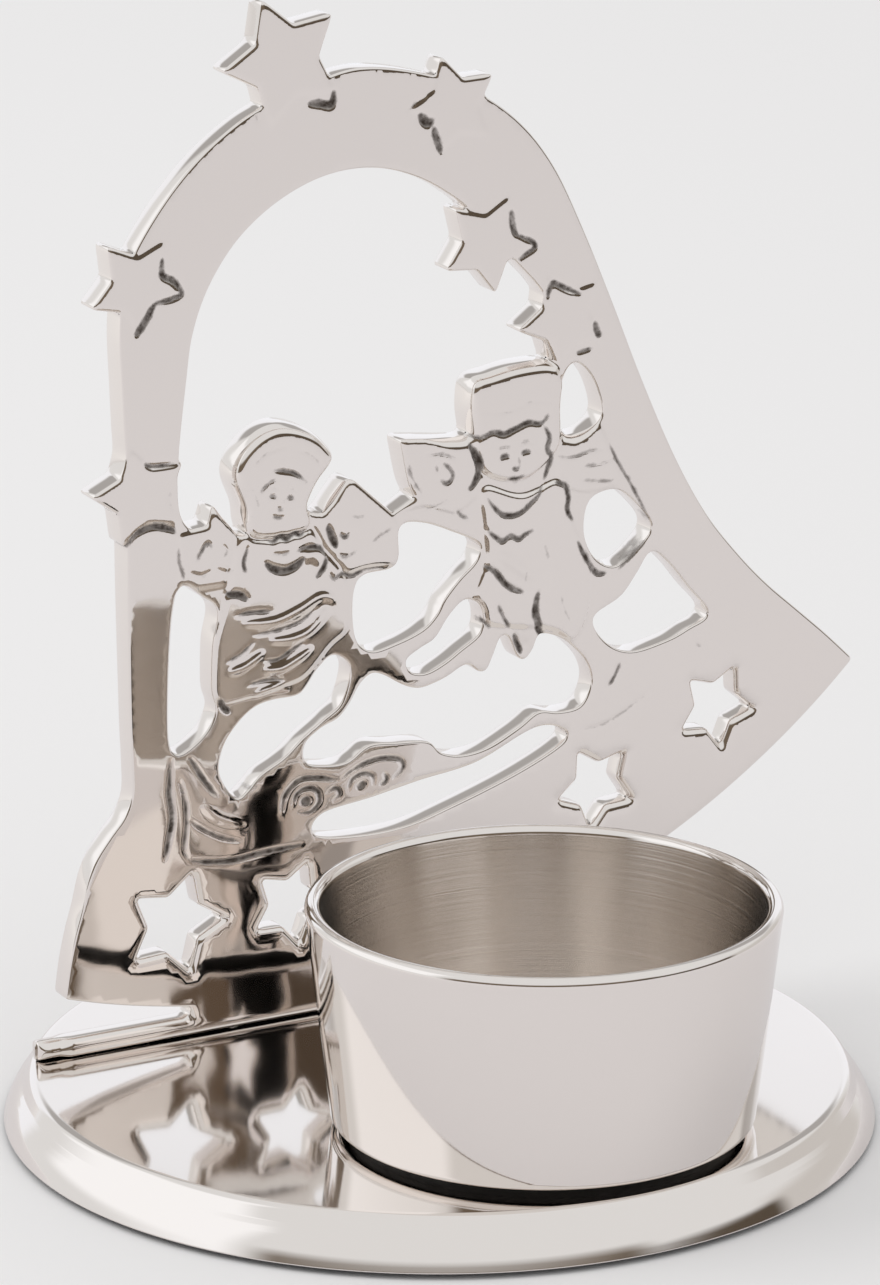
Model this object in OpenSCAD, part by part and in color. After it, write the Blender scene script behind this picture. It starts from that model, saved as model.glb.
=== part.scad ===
// A tea light holder: a round polished base, an openwork bell panel that stands on it behind
// the middle, and a turned cup in front of the panel that takes one tea light.
// The origin is the middle of the base on the table, x runs along the panel to its long lip,
// +z is up, and the cup is on the side of -y.

/* [Base] */
// Diameter of the base at its lower edge
base_d = 93.7; // [88:0.1:110]
// Diameter of the base where its sloping rim meets the top
base_top_d = 88.6; // [84:0.1:100]
// Thickness of the base
base_t = 5.3; // [4.6:0.1:8]
// Radius of the shoulder between the rim and the top
base_shoulder_r = 1.1; // [0.4:0.1:1.8]
// Radius of the rim's lower edge
base_edge_r = 0.5; // [0.2:0.1:1]
// How far the middle of the rim swells out of a straight slope
base_rim_crown = 0.35; // [0:0.05:0.8]

/* [Pad] */
// Thickness of the pad under the base
pad_t = 1.2; // [0.9:0.1:2]
// Height of the base's lower edge above the table
pad_proud = 0.6; // [0.3:0.1:0.8]
// Width of the metal edge around the pad's recess
pad_margin = 3.4; // [2:0.1:6]
// Gap around the pad in its recess
pad_gap = 0.25; // [0.1:0.05:0.5]

/* [Cup] */
// Outer diameter of the cup at its rim
cup_rim_d = 49.8; // [47:0.1:54]
// Outer diameter of the cup at its foot
cup_foot_d = 44.7; // [43:0.1:46]
// Height of the cup
cup_h = 24; // [18:0.1:32]
// Thickness of the cup's wall
cup_wall = 1.7; // [1:0.1:1.9]
// Thickness of the cup's floor
cup_floor_t = 2.4; // [2.2:0.1:4]
// Radius of the cup's foot edge
cup_foot_r = 1; // [0.4:0.1:1.4]
// Radius between the floor and the wall inside the cup
cup_fillet_r = 1.4; // [0.8:0.1:2]
// Distance of the cup's axis in front of the base's middle
cup_set = 20.7; // [20.3:0.1:21]
// Distance of the cup's axis to the right of the base's middle
cup_aside = 1.1; // [0:0.1:2]
// Thickness of the spacer between the cup and the base
spacer_t = 0.7; // [0.5:0.1:2]
// How far the spacer stays inside the cup's foot
spacer_inset = 1.1; // [0.6:0.1:4]
// Depth of the turned ring in the cup's floor
ring_depth = 0.3; // [0.1:0.1:0.5]
// Width of the turned ring in the cup's floor
ring_w = 0.8; // [0.4:0.1:1.5]
// Radius of the turned ring in the cup's floor
ring_r = 12; // [8:0.5:16]

/* [Bell panel] */
// Distance of the panel's front face behind the base's middle
panel_set = 19.1; // [18.5:0.1:21]
// Thickness of the panel
panel_t = 3; // [2.4:0.1:3.6]
// Width of the bell's mouth from corner to corner
bell_w = 101.6; // [84:0.2:121]
// Height of the bell from its lip to its crown, as a share of its width
bell_tall_share = 0.995; // [0.98:0.005:1.01]
// How far the lip's arc hangs below the mouth's corners, as a share of the bell's width
lip_sag_share = 0.138; // [0.13:0.002:0.146]
// Place of the lip's lowest point along the panel, as a share of the bell's width
lip_share = -0.056; // [-0.06:0.001:-0.05]
// Lean of the bell's axis to the left
bell_lean = 13.5; // [12:0.5:15]
// Height of the lip's lowest point above the base
lip_lift = 2.5; // [2.3:0.1:2.7]
// Height of the foot bar under the bell
foot_h = 2.3; // [2:0.1:2.6]
// Thickness of the foot bar and of the web above it
foot_t = 4; // [3.8:0.1:4.6]
// Length of the foot bar
foot_l = 76.6; // [60:0.1:77]
// Width of the web that joins the lip and the foot bar
foot_web_w = 29; // [22:0.5:34]
// Height of the web above the foot bar
foot_web_h = 2.1; // [1.8:0.1:2.6]
// Radius of the foot bar's upper edges
foot_edge_r = 1; // [0.6:0.1:1.3]

/* [Stars and relief] */
// Radius of the star on the crown, as a share of the bell's width
crown_star_r_share = 0.073; // [0.06:0.001:0.085]
// Radius of the other stars on the band, as a share of the bell's width
band_star_r_share = 0.058; // [0.05:0.001:0.064]
// Radius of the star hole in the left corner of the skirt, as a share of the bell's width
big_hole_r_share = 0.057; // [0.05:0.001:0.064]
// Radius of the other star holes in the skirt, as a share of the bell's width
hole_r_share = 0.047; // [0.04:0.001:0.055]
// How far the stars stand proud of the panel's face
star_rise = 0.4; // [0.2:0.05:0.7]
// How far the wings stand proud
wing_rise = 0.45; // [0.2:0.05:0.8]
// How far the gowns stand proud
gown_rise = 0.6; // [0.3:0.05:0.9]
// How far the hair stands proud
hair_rise = 0.8; // [0.4:0.05:1.2]
// How far the domed faces stand proud of the hair
face_rise = 0.5; // [0.2:0.05:0.7]
// Half width of a face, as a share of the bell's width
face_r_share = 0.0335; // [0.028:0.0005:0.037]

/* [Fasteners] */
// Thread diameter of the cup's screw
cup_screw_d = 3; // [2.5:0.5:4]
// Length of the cup's screw with its sunk head
cup_screw_l = 6; // [5:0.5:7]
// Head diameter of the cup's screw
cup_head_d = 5.8; // [5.2:0.1:6.4]
// Thread diameter of the panel's screws
panel_screw_d = 2.5; // [2:0.1:2.6]
// Length of the panel's screws under the head
panel_screw_l = 6; // [5:0.5:7]
// Head diameter of the panel's screws
panel_head_d = 4.7; // [4.2:0.1:5]
// Head height of the panel's screws
panel_head_t = 1.5; // [1.2:0.1:1.7]
// Distance between the panel's two screws
panel_screw_gap = 18; // [14:0.5:22]
// Outer diameter of the washers
washer_d = 6; // [5.4:0.1:6.4]
// Thickness of the washers
washer_t = 0.5; // [0.3:0.1:0.6]
// Width of the cross slots in the screw heads
slot_w = 0.8; // [0.5:0.1:1]
// Depth of the cross slots in the screw heads
slot_depth = 0.8; // [0.4:0.1:1]
// Gap around a screw in its hole, across the diameter
screw_gap = 0.2; // [0.1:0.05:0.4]
// Gap around a head or washer in its counterbore, across the diameter
bore_gap = 0.6; // [0.3:0.1:1]
// Room beyond the end of each screw
tip_room = 0.4; // [0.2:0.1:1]
// Metal of the base under the panel's washers
seat_t = 2; // [1.8:0.1:2.2]

/* [Hidden] */
$fn = 64;

// How far a cut runs past the surface that it opens
overrun = 0.5;
// Steps of the outline between two of its points, and of a rounded corner
curve_steps = 4;
arc_steps = 6;
// A half turn and a quarter turn, in degrees
half_turn = 180;
quarter_turn = 90;

base_r = base_d / 2;
base_top_r = base_top_d / 2;
base_z = pad_proud;
base_top_z = base_z + base_t;
recess_r = base_r - pad_margin;
recess_z = pad_t;
spacer_z = base_top_z;
cup_z = spacer_z + spacer_t;
cup_floor_z = cup_z + cup_floor_t;
cup_rim_r = cup_rim_d / 2;
cup_foot_half = cup_foot_d / 2;
foot_mid = panel_set + foot_t / 2;
bell_h = bell_w * bell_tall_share;
lip_sag = bell_w * lip_sag_share;
lip_x = bell_w * lip_share;
crown_star_r = bell_w * crown_star_r_share;
band_star_r = bell_w * band_star_r_share;
big_hole_r = bell_w * big_hole_r_share;
hole_r = bell_w * hole_r_share;
face_r = bell_w * face_r_share;
foot_z = base_top_z;
lip_z = foot_z + lip_lift;
lip_r = (pow(bell_w / 2, 2) + pow(lip_sag, 2)) / (2 * lip_sag);
seat_z = base_top_z - seat_t;
// How far the panel's screws reach into the panel
screw_reach = panel_screw_l - washer_t - seat_t;
screw_xs = [lip_x - panel_screw_gap / 2, lip_x + panel_screw_gap / 2];

// The bell's flanks from the mouth's corners to the crown, the right one and then the left one:
// half widths as shares of half the mouth, and heights as shares of the height above the corners
right_flank_shares = [[1, 0], [0.945, 0.05], [0.885, 0.1], [0.825, 0.15], [0.77, 0.205],
                      [0.713, 0.275], [0.666, 0.365], [0.627, 0.48], [0.598, 0.59],
                      [0.566, 0.7], [0.53, 0.79], [0.473, 0.86], [0.385, 0.92], [0.263, 0.969],
                      [0.13, 1], [0, 1]];
left_flank_shares = [[1, 0], [0.972, 0.04], [0.942, 0.075], [0.912, 0.105], [0.884, 0.136],
                     [0.852, 0.16], [0.808, 0.181], [0.768, 0.198], [0.742, 0.22],
                     [0.728, 0.252], [0.712, 0.298], [0.69, 0.356], [0.664, 0.424], [0.634, 0.5],
                     [0.588, 0.612], [0.55, 0.72], [0.52, 0.8], [0.475, 0.862], [0.385, 0.915],
                     [0.265, 0.962], [0.13, 0.992], [0, 1]];

// The drawing on the panel: x is a share of the bell's width from the base's middle, and z a
// share of the bell's height from the lowest point of the lip.
// The tall opening under the arch, down to where the figures cover its edge
arch_shares = [[-0.209, 0.61], [-0.197, 0.71], [-0.189, 0.755], [-0.172, 0.798], [-0.144, 0.839],
               [-0.112, 0.868], [-0.077, 0.889], [-0.039, 0.903], [0, 0.908], [0.038, 0.904],
               [0.077, 0.89], [0.112, 0.869], [0.147, 0.84], [0.195, 0.784], [0.221, 0.755],
               [0.237, 0.725], [0.24, 0.66], [0.18, 0.58], [0.1, 0.555], [0.048, 0.53],
               [0, 0.52], [-0.08, 0.53], [-0.16, 0.53], [-0.203, 0.552]];
// The openings between the figures and the clouds
openings_shares = [
    // beside the left gown
    [[-0.213, 0.475], [-0.18, 0.466], [-0.164, 0.448], [-0.17, 0.412], [-0.171, 0.362],
     [-0.166, 0.338], [-0.181, 0.313], [-0.213, 0.297], [-0.222, 0.335]],
    // under the left gown
    [[-0.143, 0.237], [-0.162, 0.267], [-0.157, 0.297], [-0.14, 0.32], [-0.12, 0.335],
     [-0.098, 0.34], [-0.069, 0.341], [-0.057, 0.351], [-0.045, 0.367], [-0.026, 0.38],
     [-0.006, 0.363], [-0.015, 0.327], [-0.035, 0.311], [-0.062, 0.293], [-0.085, 0.274],
     [-0.112, 0.26], [-0.127, 0.246]],
    // between the two figures
    [[0.052, 0.512], [0.08, 0.513], [0.118, 0.497], [0.148, 0.48], [0.146, 0.462],
     [0.126, 0.444], [0.109, 0.425], [0.099, 0.408], [0.082, 0.393], [0.05, 0.382],
     [0.018, 0.378], [-0.001, 0.4], [0.002, 0.46], [0.048, 0.47]],
    // inside the right figure's knee
    [[0.132, 0.419], [0.149, 0.412], [0.155, 0.396], [0.151, 0.378], [0.128, 0.363],
     [0.108, 0.351], [0.086, 0.343], [0.067, 0.347], [0.062, 0.361], [0.079, 0.372],
     [0.097, 0.381], [0.113, 0.403]],
    // over the lower cloud
    [[-0.06, 0.265], [-0.04, 0.258], [-0.01, 0.257], [0.017, 0.272], [0.05, 0.27], [0.088, 0.265],
     [0.104, 0.25], [0.13, 0.243], [0.162, 0.247], [0.2, 0.264], [0.225, 0.278], [0.25, 0.274],
     [0.277, 0.277], [0.29, 0.3], [0.286, 0.322], [0.272, 0.341], [0.25, 0.359], [0.226, 0.366],
     [0.217, 0.35], [0.207, 0.34], [0.197, 0.346], [0.187, 0.368], [0.177, 0.37], [0.168, 0.35],
     [0.16, 0.335], [0.15, 0.335], [0.135, 0.345], [0.11, 0.334], [0.084, 0.327], [0.068, 0.329],
     [0.052, 0.337], [0.035, 0.348], [0.02, 0.352], [0.006, 0.342], [-0.006, 0.323],
     [-0.02, 0.308], [-0.04, 0.3], [-0.06, 0.285]],
    // the long slit over the skirt
    [[-0.05, 0.181], [0, 0.172], [0.06, 0.173], [0.118, 0.187], [0.2, 0.213], [0.255, 0.238],
     [0.256, 0.253], [0.22, 0.26], [0.148, 0.232], [0.079, 0.222], [0.02, 0.212],
     [-0.04, 0.203]],
    // beside the right figure's hair
    [[0.264, 0.666], [0.252, 0.64], [0.25, 0.605], [0.256, 0.588], [0.277, 0.587],
     [0.298, 0.603], [0.295, 0.628], [0.282, 0.654]],
    // under the right wing
    [[0.284, 0.51], [0.312, 0.519], [0.334, 0.507], [0.362, 0.472], [0.345, 0.447],
     [0.318, 0.431], [0.292, 0.444], [0.278, 0.475]],
    // right of the right gown
    [[0.363, 0.441], [0.385, 0.425], [0.411, 0.393], [0.437, 0.36], [0.412, 0.346],
     [0.384, 0.336], [0.34, 0.33], [0.308, 0.345], [0.292, 0.375], [0.326, 0.395],
     [0.345, 0.418]]];

// The figures' silhouettes
left_hair_shares = [[-0.124, 0.525], [-0.135, 0.56], [-0.146, 0.592], [-0.138, 0.617],
                    [-0.116, 0.637], [-0.088, 0.644], [-0.056, 0.634], [-0.035, 0.616],
                    [-0.026, 0.598], [-0.045, 0.574], [-0.057, 0.55], [-0.06, 0.525]];
right_hair_shares = [[0.15, 0.56], [0.137, 0.61], [0.135, 0.64], [0.141, 0.662], [0.165, 0.668],
                     [0.2, 0.673], [0.235, 0.671], [0.248, 0.655], [0.254, 0.63], [0.25, 0.6],
                     [0.24, 0.57], [0.2, 0.545]];
left_wings_shares = [
    [[-0.212, 0.475], [-0.212, 0.542], [-0.176, 0.545], [-0.169, 0.568], [-0.14, 0.528],
     [-0.135, 0.475]],
    [[-0.06, 0.545], [-0.04, 0.54], [-0.012, 0.574], [-0.003, 0.572], [0.044, 0.528],
     [0.052, 0.514], [0.049, 0.468], [0.02, 0.472], [-0.06, 0.462]]];
right_wings_shares = [
    [[0.052, 0.609], [0.08, 0.606], [0.126, 0.6], [0.15, 0.606], [0.16, 0.54], [0.12, 0.515],
     [0.08, 0.53], [0.036, 0.524], [0.07, 0.543], [0.062, 0.56]],
    [[0.24, 0.6], [0.253, 0.586], [0.296, 0.598], [0.305, 0.58], [0.32, 0.545], [0.322, 0.522],
     [0.28, 0.518], [0.242, 0.53]]];
left_gown_shares = [[-0.14, 0.53], [-0.1, 0.522], [-0.06, 0.53], [-0.038, 0.5], [-0.01, 0.46],
                    [-0.008, 0.41], [-0.03, 0.39], [-0.06, 0.36], [-0.09, 0.352], [-0.13, 0.345],
                    [-0.165, 0.345], [-0.18, 0.37], [-0.172, 0.41], [-0.155, 0.47]];
right_gown_shares = [[0.15, 0.545], [0.2, 0.53], [0.25, 0.54], [0.265, 0.49], [0.288, 0.43],
                     [0.285, 0.38], [0.265, 0.352], [0.235, 0.37], [0.18, 0.38], [0.155, 0.39],
                     [0.142, 0.42], [0.155, 0.46], [0.152, 0.5]];

// Stars on the band: place, and the angle of one point
stars_shares = [[-0.251, 0.812, 55], [-0.252, 0.588, 31], [0.118, 0.962, 32], [0.16, 0.811, 62],
                [0.252, 0.716, 42]];
crown_star_share = [-0.079, 1.03, 39];
// Star holes in the skirt, the first one the largest
big_hole_share = [-0.214, 0.106, 70];
holes_shares = [[-0.076, 0.106, 65], [0.299, 0.18, 46], [0.451, 0.249, 62]];
// Places of the faces
left_face_share = [-0.09, 0.566];
right_face_share = [0.19, 0.578];
// Points of a star, and its radius between them as a share of its radius
star_points = 5;
star_waist_share = 0.55;

// Outline helpers
function at(p) = [p[0] * bell_w, p[1] * bell_h];
function all_at(points) = [for (p = points) at(p)];
function blend(a, b, c, d, t) =
    (2 * b + (c - a) * t + (2 * a - 5 * b + 4 * c - d) * t * t
     + (3 * b - a - 3 * c + d) * t * t * t) / 2;
function closed_curve(p) = let (n = len(p))
    [for (i = [0:n - 1]) for (s = [0:curve_steps - 1])
        blend(p[(i + n - 1) % n], p[i], p[(i + 1) % n], p[(i + 2) % n], s / curve_steps)];
function open_curve(p) = let (n = len(p))
    [for (i = [0:n - 2]) for (s = [0:curve_steps - 1])
        blend(p[max(i - 1, 0)], p[i], p[i + 1], p[min(i + 2, n - 1)], s / curve_steps),
     p[n - 1]];
function arc(x, y, r, from, to) =
    [for (s = [0:arc_steps]) let (a = from + (to - from) * s / arc_steps)
        [x + r * cos(a), y + r * sin(a)]];
function reversed(p) = [for (i = [len(p) - 1:-1:0]) p[i]];

// The bell's outline about the lowest point of its lip, its axis upright
mouth_half = bell_w / 2;
crown_h = bell_h - lip_sag;
function flank(shares) =
    [for (p = open_curve(shares)) [p[0] * mouth_half, lip_sag + p[1] * crown_h]];
lip_half_angle = asin(mouth_half / lip_r);
lip_steps = 24;
lip = [for (s = [1:lip_steps - 1]) let (a = lip_half_angle * (2 * s / lip_steps - 1))
    [lip_r * sin(a), lip_r * (1 - cos(a))]];
left_flank = [for (p = reversed(flank(left_flank_shares))) if (p[0] > 0) [-p[0], p[1]]];
bell_outline = concat(flank(right_flank_shares), left_flank, lip);

module bell_2d() {
    translate([lip_x, lip_r]) rotate(bell_lean) translate([0, -lip_r]) polygon(bell_outline);
}

module star_2d(place, r) {
    translate(at(place)) polygon([for (k = [0:2 * star_points - 1])
        let (a = place[2] + k * half_turn / star_points)
        (k % 2 == 0 ? r : r * star_waist_share) * [cos(a), sin(a)]]);
}

module band_stars_2d() {
    star_2d(crown_star_share, crown_star_r);
    for (s = stars_shares) star_2d(s, band_star_r);
}

module star_holes_2d() {
    star_2d(big_hole_share, big_hole_r);
    for (s = holes_shares) star_2d(s, hole_r);
}

module wings_2d() {
    for (w = concat(left_wings_shares, right_wings_shares)) polygon(all_at(w));
}

module hair_2d() {
    polygon(closed_curve(all_at(left_hair_shares)));
    polygon(closed_curve(all_at(right_hair_shares)));
}

module gowns_2d() {
    polygon(closed_curve(all_at(left_gown_shares)));
    polygon(closed_curve(all_at(right_gown_shares)));
}

module openings_2d() {
    for (o = openings_shares) polygon(closed_curve(all_at(o)));
}

// The whole openwork plate in one outline
module plate_2d() {
    difference() {
        union() {
            difference() {
                bell_2d();
                polygon(closed_curve(all_at(arch_shares)));
            }
            band_stars_2d();
            wings_2d();
            hair_2d();
        }
        openings_2d();
        star_holes_2d();
    }
}

// Stands a flat outline up as a layer of the panel, from its front face forwards
module layer(rise) {
    translate([0, panel_set, lip_z]) rotate([quarter_turn, 0, 0]) linear_extrude(rise) children();
}

module raised(rise) {
    layer(rise) difference() {
        children();
        openings_2d();
    }
}

// A face: a low dome on the hair
module face_dome(place) {
    height = face_rise + hair_rise;
    dome_r = (pow(face_r, 2) + pow(height, 2)) / (2 * height);
    at_place = at(place);
    box_r = face_r + overrun;
    intersection() {
        translate([at_place[0], panel_set - height + dome_r, lip_z + at_place[1]])
            sphere(dome_r);
        translate([at_place[0] - box_r, panel_set - height - overrun,
                   lip_z + at_place[1] - box_r])
            cube([2 * box_r, height + 2 * overrun, 2 * box_r]);
    }
}

// The bar under the bell, with round ends and rounded upper edges
module foot_bar() {
    end_r = foot_t / 2;
    run = foot_l - foot_t;
    intersection() {
        translate([0, foot_mid, foot_z]) {
            translate([-run / 2, -end_r, 0]) cube([run, foot_t, foot_h]);
            for (side = [-1, 1]) translate([side * run / 2, 0, 0]) cylinder(h = foot_h, r = end_r);
        }
        translate([-foot_l / 2 - overrun, foot_mid, foot_z]) rotate([quarter_turn, 0, quarter_turn])
            linear_extrude(foot_l + 2 * overrun)
            polygon(concat([[-end_r, 0], [end_r, 0]],
                arc(end_r - foot_edge_r, foot_h - foot_edge_r, foot_edge_r, 0, quarter_turn),
                arc(foot_edge_r - end_r, foot_h - foot_edge_r, foot_edge_r, quarter_turn,
                    half_turn)));
    }
}

module foot_web() {
    translate([lip_x - foot_web_w / 2, panel_set, foot_z + foot_h - foot_edge_r])
        cube([foot_web_w, foot_t, foot_web_h + foot_edge_r]);
}

module bell_panel() {
    color("gainsboro") difference() {
        union() {
            translate([0, panel_t, 0]) layer(panel_t) plate_2d();
            foot_bar();
            foot_web();
            raised(star_rise) band_stars_2d();
            raised(wing_rise) wings_2d();
            raised(gown_rise) gowns_2d();
            raised(hair_rise) hair_2d();
            face_dome(left_face_share);
            face_dome(right_face_share);
        }
        for (x = screw_xs) translate([x, foot_mid, foot_z - overrun])
            cylinder(h = overrun + screw_reach + tip_room, d = panel_screw_d + screw_gap);
    }
}

// Half section of the base, with its rim as one low arc from the edge to the shoulder
module base_section() {
    slope = atan2(base_t - base_edge_r - base_shoulder_r, base_r - base_top_r);
    polygon(concat(
        [[0, 0]],
        arc(base_r - base_edge_r, base_edge_r, base_edge_r, -quarter_turn, slope / 2),
        [for (s = [1:arc_steps - 1]) let (t = s / arc_steps)
            [base_r - (base_r - base_top_r) * t + base_rim_crown * sin(half_turn * t),
             base_edge_r + (base_t - base_edge_r - base_shoulder_r) * t]],
        arc(base_top_r - base_shoulder_r, base_t - base_shoulder_r, base_shoulder_r,
            quarter_turn - slope, quarter_turn),
        [[0, base_t]]));
}

module base_plate() {
    color("whitesmoke") difference() {
        translate([0, 0, base_z]) rotate_extrude() base_section();
        translate([0, 0, base_z - overrun])
            cylinder(h = recess_z - base_z + overrun, r = recess_r);
        translate([cup_aside, -cup_set, recess_z - overrun])
            cylinder(h = base_top_z - recess_z + 2 * overrun, d = cup_screw_d + screw_gap);
        for (x = screw_xs) translate([x, foot_mid, 0]) {
            translate([0, 0, recess_z - overrun])
                cylinder(h = base_top_z - recess_z + 2 * overrun, d = panel_screw_d + screw_gap);
            translate([0, 0, recess_z - overrun])
                cylinder(h = seat_z - recess_z + overrun, d = washer_d + bore_gap);
        }
    }
}

module felt_pad() {
    color("dimgray") cylinder(h = pad_t, r = recess_r - pad_gap);
}

// Half section of the cup: foot edge, tapered wall, round rim, and the fillet inside
module cup_section() {
    taper = atan2(cup_rim_r - cup_foot_half, cup_h);
    rim_r = cup_wall / 2;
    floor_r = cup_foot_half - cup_wall + cup_floor_t * tan(taper);
    polygon(concat(
        [[0, 0]],
        arc(cup_foot_half - cup_foot_r, cup_foot_r, cup_foot_r, -quarter_turn, 0),
        arc(cup_rim_r - rim_r, cup_h - rim_r, rim_r, 0, half_turn),
        arc(floor_r - cup_fillet_r, cup_floor_t + cup_fillet_r, cup_fillet_r, 0, -quarter_turn),
        [[ring_r + ring_w / 2, cup_floor_t], [ring_r, cup_floor_t - ring_depth],
         [ring_r - ring_w / 2, cup_floor_t], [0, cup_floor_t]]));
}

// The sunk head of the cup's screw, or its seat when grown by a gap
module sunk_head(grow) {
    head_r = (cup_head_d + grow) / 2;
    shank_r = (cup_screw_d + grow) / 2;
    depth = head_r - shank_r;
    translate([0, 0, cup_floor_z - depth]) cylinder(h = depth, r1 = shank_r, r2 = head_r);
}

module tealight_cup() {
    color("lightgray") translate([cup_aside, -cup_set, 0]) difference() {
        translate([0, 0, cup_z]) rotate_extrude() cup_section();
        translate([0, 0, cup_z - overrun])
            cylinder(h = cup_floor_t + 2 * overrun, d = cup_screw_d + screw_gap);
        sunk_head(screw_gap);
    }
}

module cup_spacer() {
    color("black") translate([cup_aside, -cup_set, spacer_z]) difference() {
        cylinder(h = spacer_t, r = cup_foot_half - cup_foot_r - spacer_inset);
        translate([0, 0, -overrun])
            cylinder(h = spacer_t + 2 * overrun, d = cup_screw_d + screw_gap);
    }
}

// A cross slot cut down into a head whose outer face is at z = 0
module cross_slot(reach) {
    for (turn = [0, quarter_turn]) rotate(turn)
        translate([-reach / 2, -slot_w / 2, -slot_depth])
        cube([reach, slot_w, slot_depth + overrun]);
}

module cup_screw() {
    color("silver") translate([cup_aside, -cup_set, 0]) difference() {
        union() {
            translate([0, 0, cup_floor_z - cup_screw_l]) cylinder(h = cup_screw_l, d = cup_screw_d);
            sunk_head(0);
        }
        translate([0, 0, cup_floor_z]) cross_slot(cup_screw_d);
    }
}

module panel_screws() {
    head_z = seat_z - washer_t;
    color("silver") for (x = screw_xs) translate([x, foot_mid, head_z]) difference() {
        union() {
            cylinder(h = panel_screw_l, d = panel_screw_d);
            translate([0, 0, -panel_head_t]) cylinder(h = panel_head_t, d = panel_head_d);
        }
        translate([0, 0, -panel_head_t]) mirror([0, 0, 1]) cross_slot(panel_screw_d);
    }
}

module panel_washers() {
    color("gray") for (x = screw_xs) translate([x, foot_mid, seat_z - washer_t]) difference() {
        cylinder(h = washer_t, d = washer_d);
        translate([0, 0, -overrun])
            cylinder(h = washer_t + 2 * overrun, d = panel_screw_d + screw_gap);
    }
}

base_plate();
felt_pad();
tealight_cup();
cup_spacer();
cup_screw();
bell_panel();
panel_screws();
panel_washers();
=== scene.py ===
"""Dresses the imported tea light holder: a cast bell panel, a turned base and a turned cup."""

import math

import bmesh
import bpy
import numpy as np
from bpy.props import FloatProperty, FloatVectorProperty, IntProperty, PointerProperty, StringProperty
from mathutils import Matrix, Vector
from mathutils.geometry import delaunay_2d_cdt


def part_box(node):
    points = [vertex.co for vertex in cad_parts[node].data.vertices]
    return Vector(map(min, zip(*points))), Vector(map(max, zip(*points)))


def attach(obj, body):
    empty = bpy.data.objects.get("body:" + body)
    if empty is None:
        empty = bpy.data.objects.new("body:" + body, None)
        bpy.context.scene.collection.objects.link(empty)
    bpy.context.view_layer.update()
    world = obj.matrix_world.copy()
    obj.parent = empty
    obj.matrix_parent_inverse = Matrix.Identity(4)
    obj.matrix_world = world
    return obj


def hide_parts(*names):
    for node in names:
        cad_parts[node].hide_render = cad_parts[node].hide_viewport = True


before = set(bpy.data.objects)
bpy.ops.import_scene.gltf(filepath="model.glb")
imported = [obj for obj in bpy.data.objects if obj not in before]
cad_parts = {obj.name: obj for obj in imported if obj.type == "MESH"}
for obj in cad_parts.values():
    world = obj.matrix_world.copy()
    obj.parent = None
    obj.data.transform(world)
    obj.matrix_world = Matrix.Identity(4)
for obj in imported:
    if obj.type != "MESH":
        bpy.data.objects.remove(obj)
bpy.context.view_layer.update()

bl_info = {
    "name": "Tea light holder",
    "version": (1, 0, 0),
    "blender": (4, 5, 0),
    "location": "View3D > Sidebar > Holder",
    "description": "Dresses a tea light holder with a cast bell panel and a turned cup",
    "category": "Object",
}

MM = 0.001
CAST_NODE = "bell_panel"
BASE_NODE = "base_plate"
CUP_NODE = "tealight_cup"
PAD_NODE = "felt_pad"
CUP_SCREW_NODE = "cup_screw"

# The panel's drawing is in millimetres, on a panel of this width and height with its foot here
DRAWN_WIDTH = 101.94
DRAWN_HEIGHT = 113.54
DRAWN_LOW = 5.5

# Engraved strokes: half width and depth in millimetres, then points (x, z) on the drawing
# The stars' strokes lie on the shaded right and lower sides of the stars' steps, so their dark colour
# is painted shade
STAR_STROKES = [
    (0.36, 0.34, (-5.3, 107.4), (-4, 107.3), (-2.6, 107), (-2.3, 108.5)),
    (0.22, 0.2, (-13, 109.3), (-12, 108.7)),
    (0.14, 0.1, (-11.6, 107), (-11.3, 106)),
    (0.3, 0.3, (-22.7, 92.8), (-22.8, 91), (-21.5, 90.2), (-20.3, 88.7)),
    (0.26, 0.28, (-20.3, 88.7), (-21.6, 88.3), (-23.8, 88)),
    (0.36, 0.34, (-23.8, 88), (-24.9, 86.2), (-26, 84.8)),
    (0.24, 0.2, (-25.3, 70.9), (-24.4, 70.5), (-21.4, 70.4)),
    (0.3, 0.28, (-27.8, 61.8), (-26.3, 63.4), (-24.3, 63.9), (-22.4, 63.4), (-21.8, 62.9)),
    (0.14, 0.1, (-22.3, 67.6), (-22.2, 65.3)),
    (0.2, 0.12, (6.5, 105.4), (7.6, 106.1), (8.8, 106.6)),
    (0.42, 0.36, (7.9, 104.8), (8.8, 103.9), (9.4, 104)),
    (0.32, 0.32, (9.6, 103.3), (10, 101.8), (10.5, 100.4)),
    (0.32, 0.32, (19, 93.2), (19.2, 91.6), (19.6, 90.4)),
    (0.24, 0.24, (19.6, 90.4), (21.2, 89.8), (22, 88.9), (20.8, 88.2), (19.8, 87.6)),
    (0.28, 0.28, (23.4, 83), (24, 84.6), (25.4, 84), (27.6, 83)),
    (0.34, 0.32, (29.3, 79.6), (29.9, 78)),
    (0.22, 0.22, (27, 76.5), (29, 76.8)),
]
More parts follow.
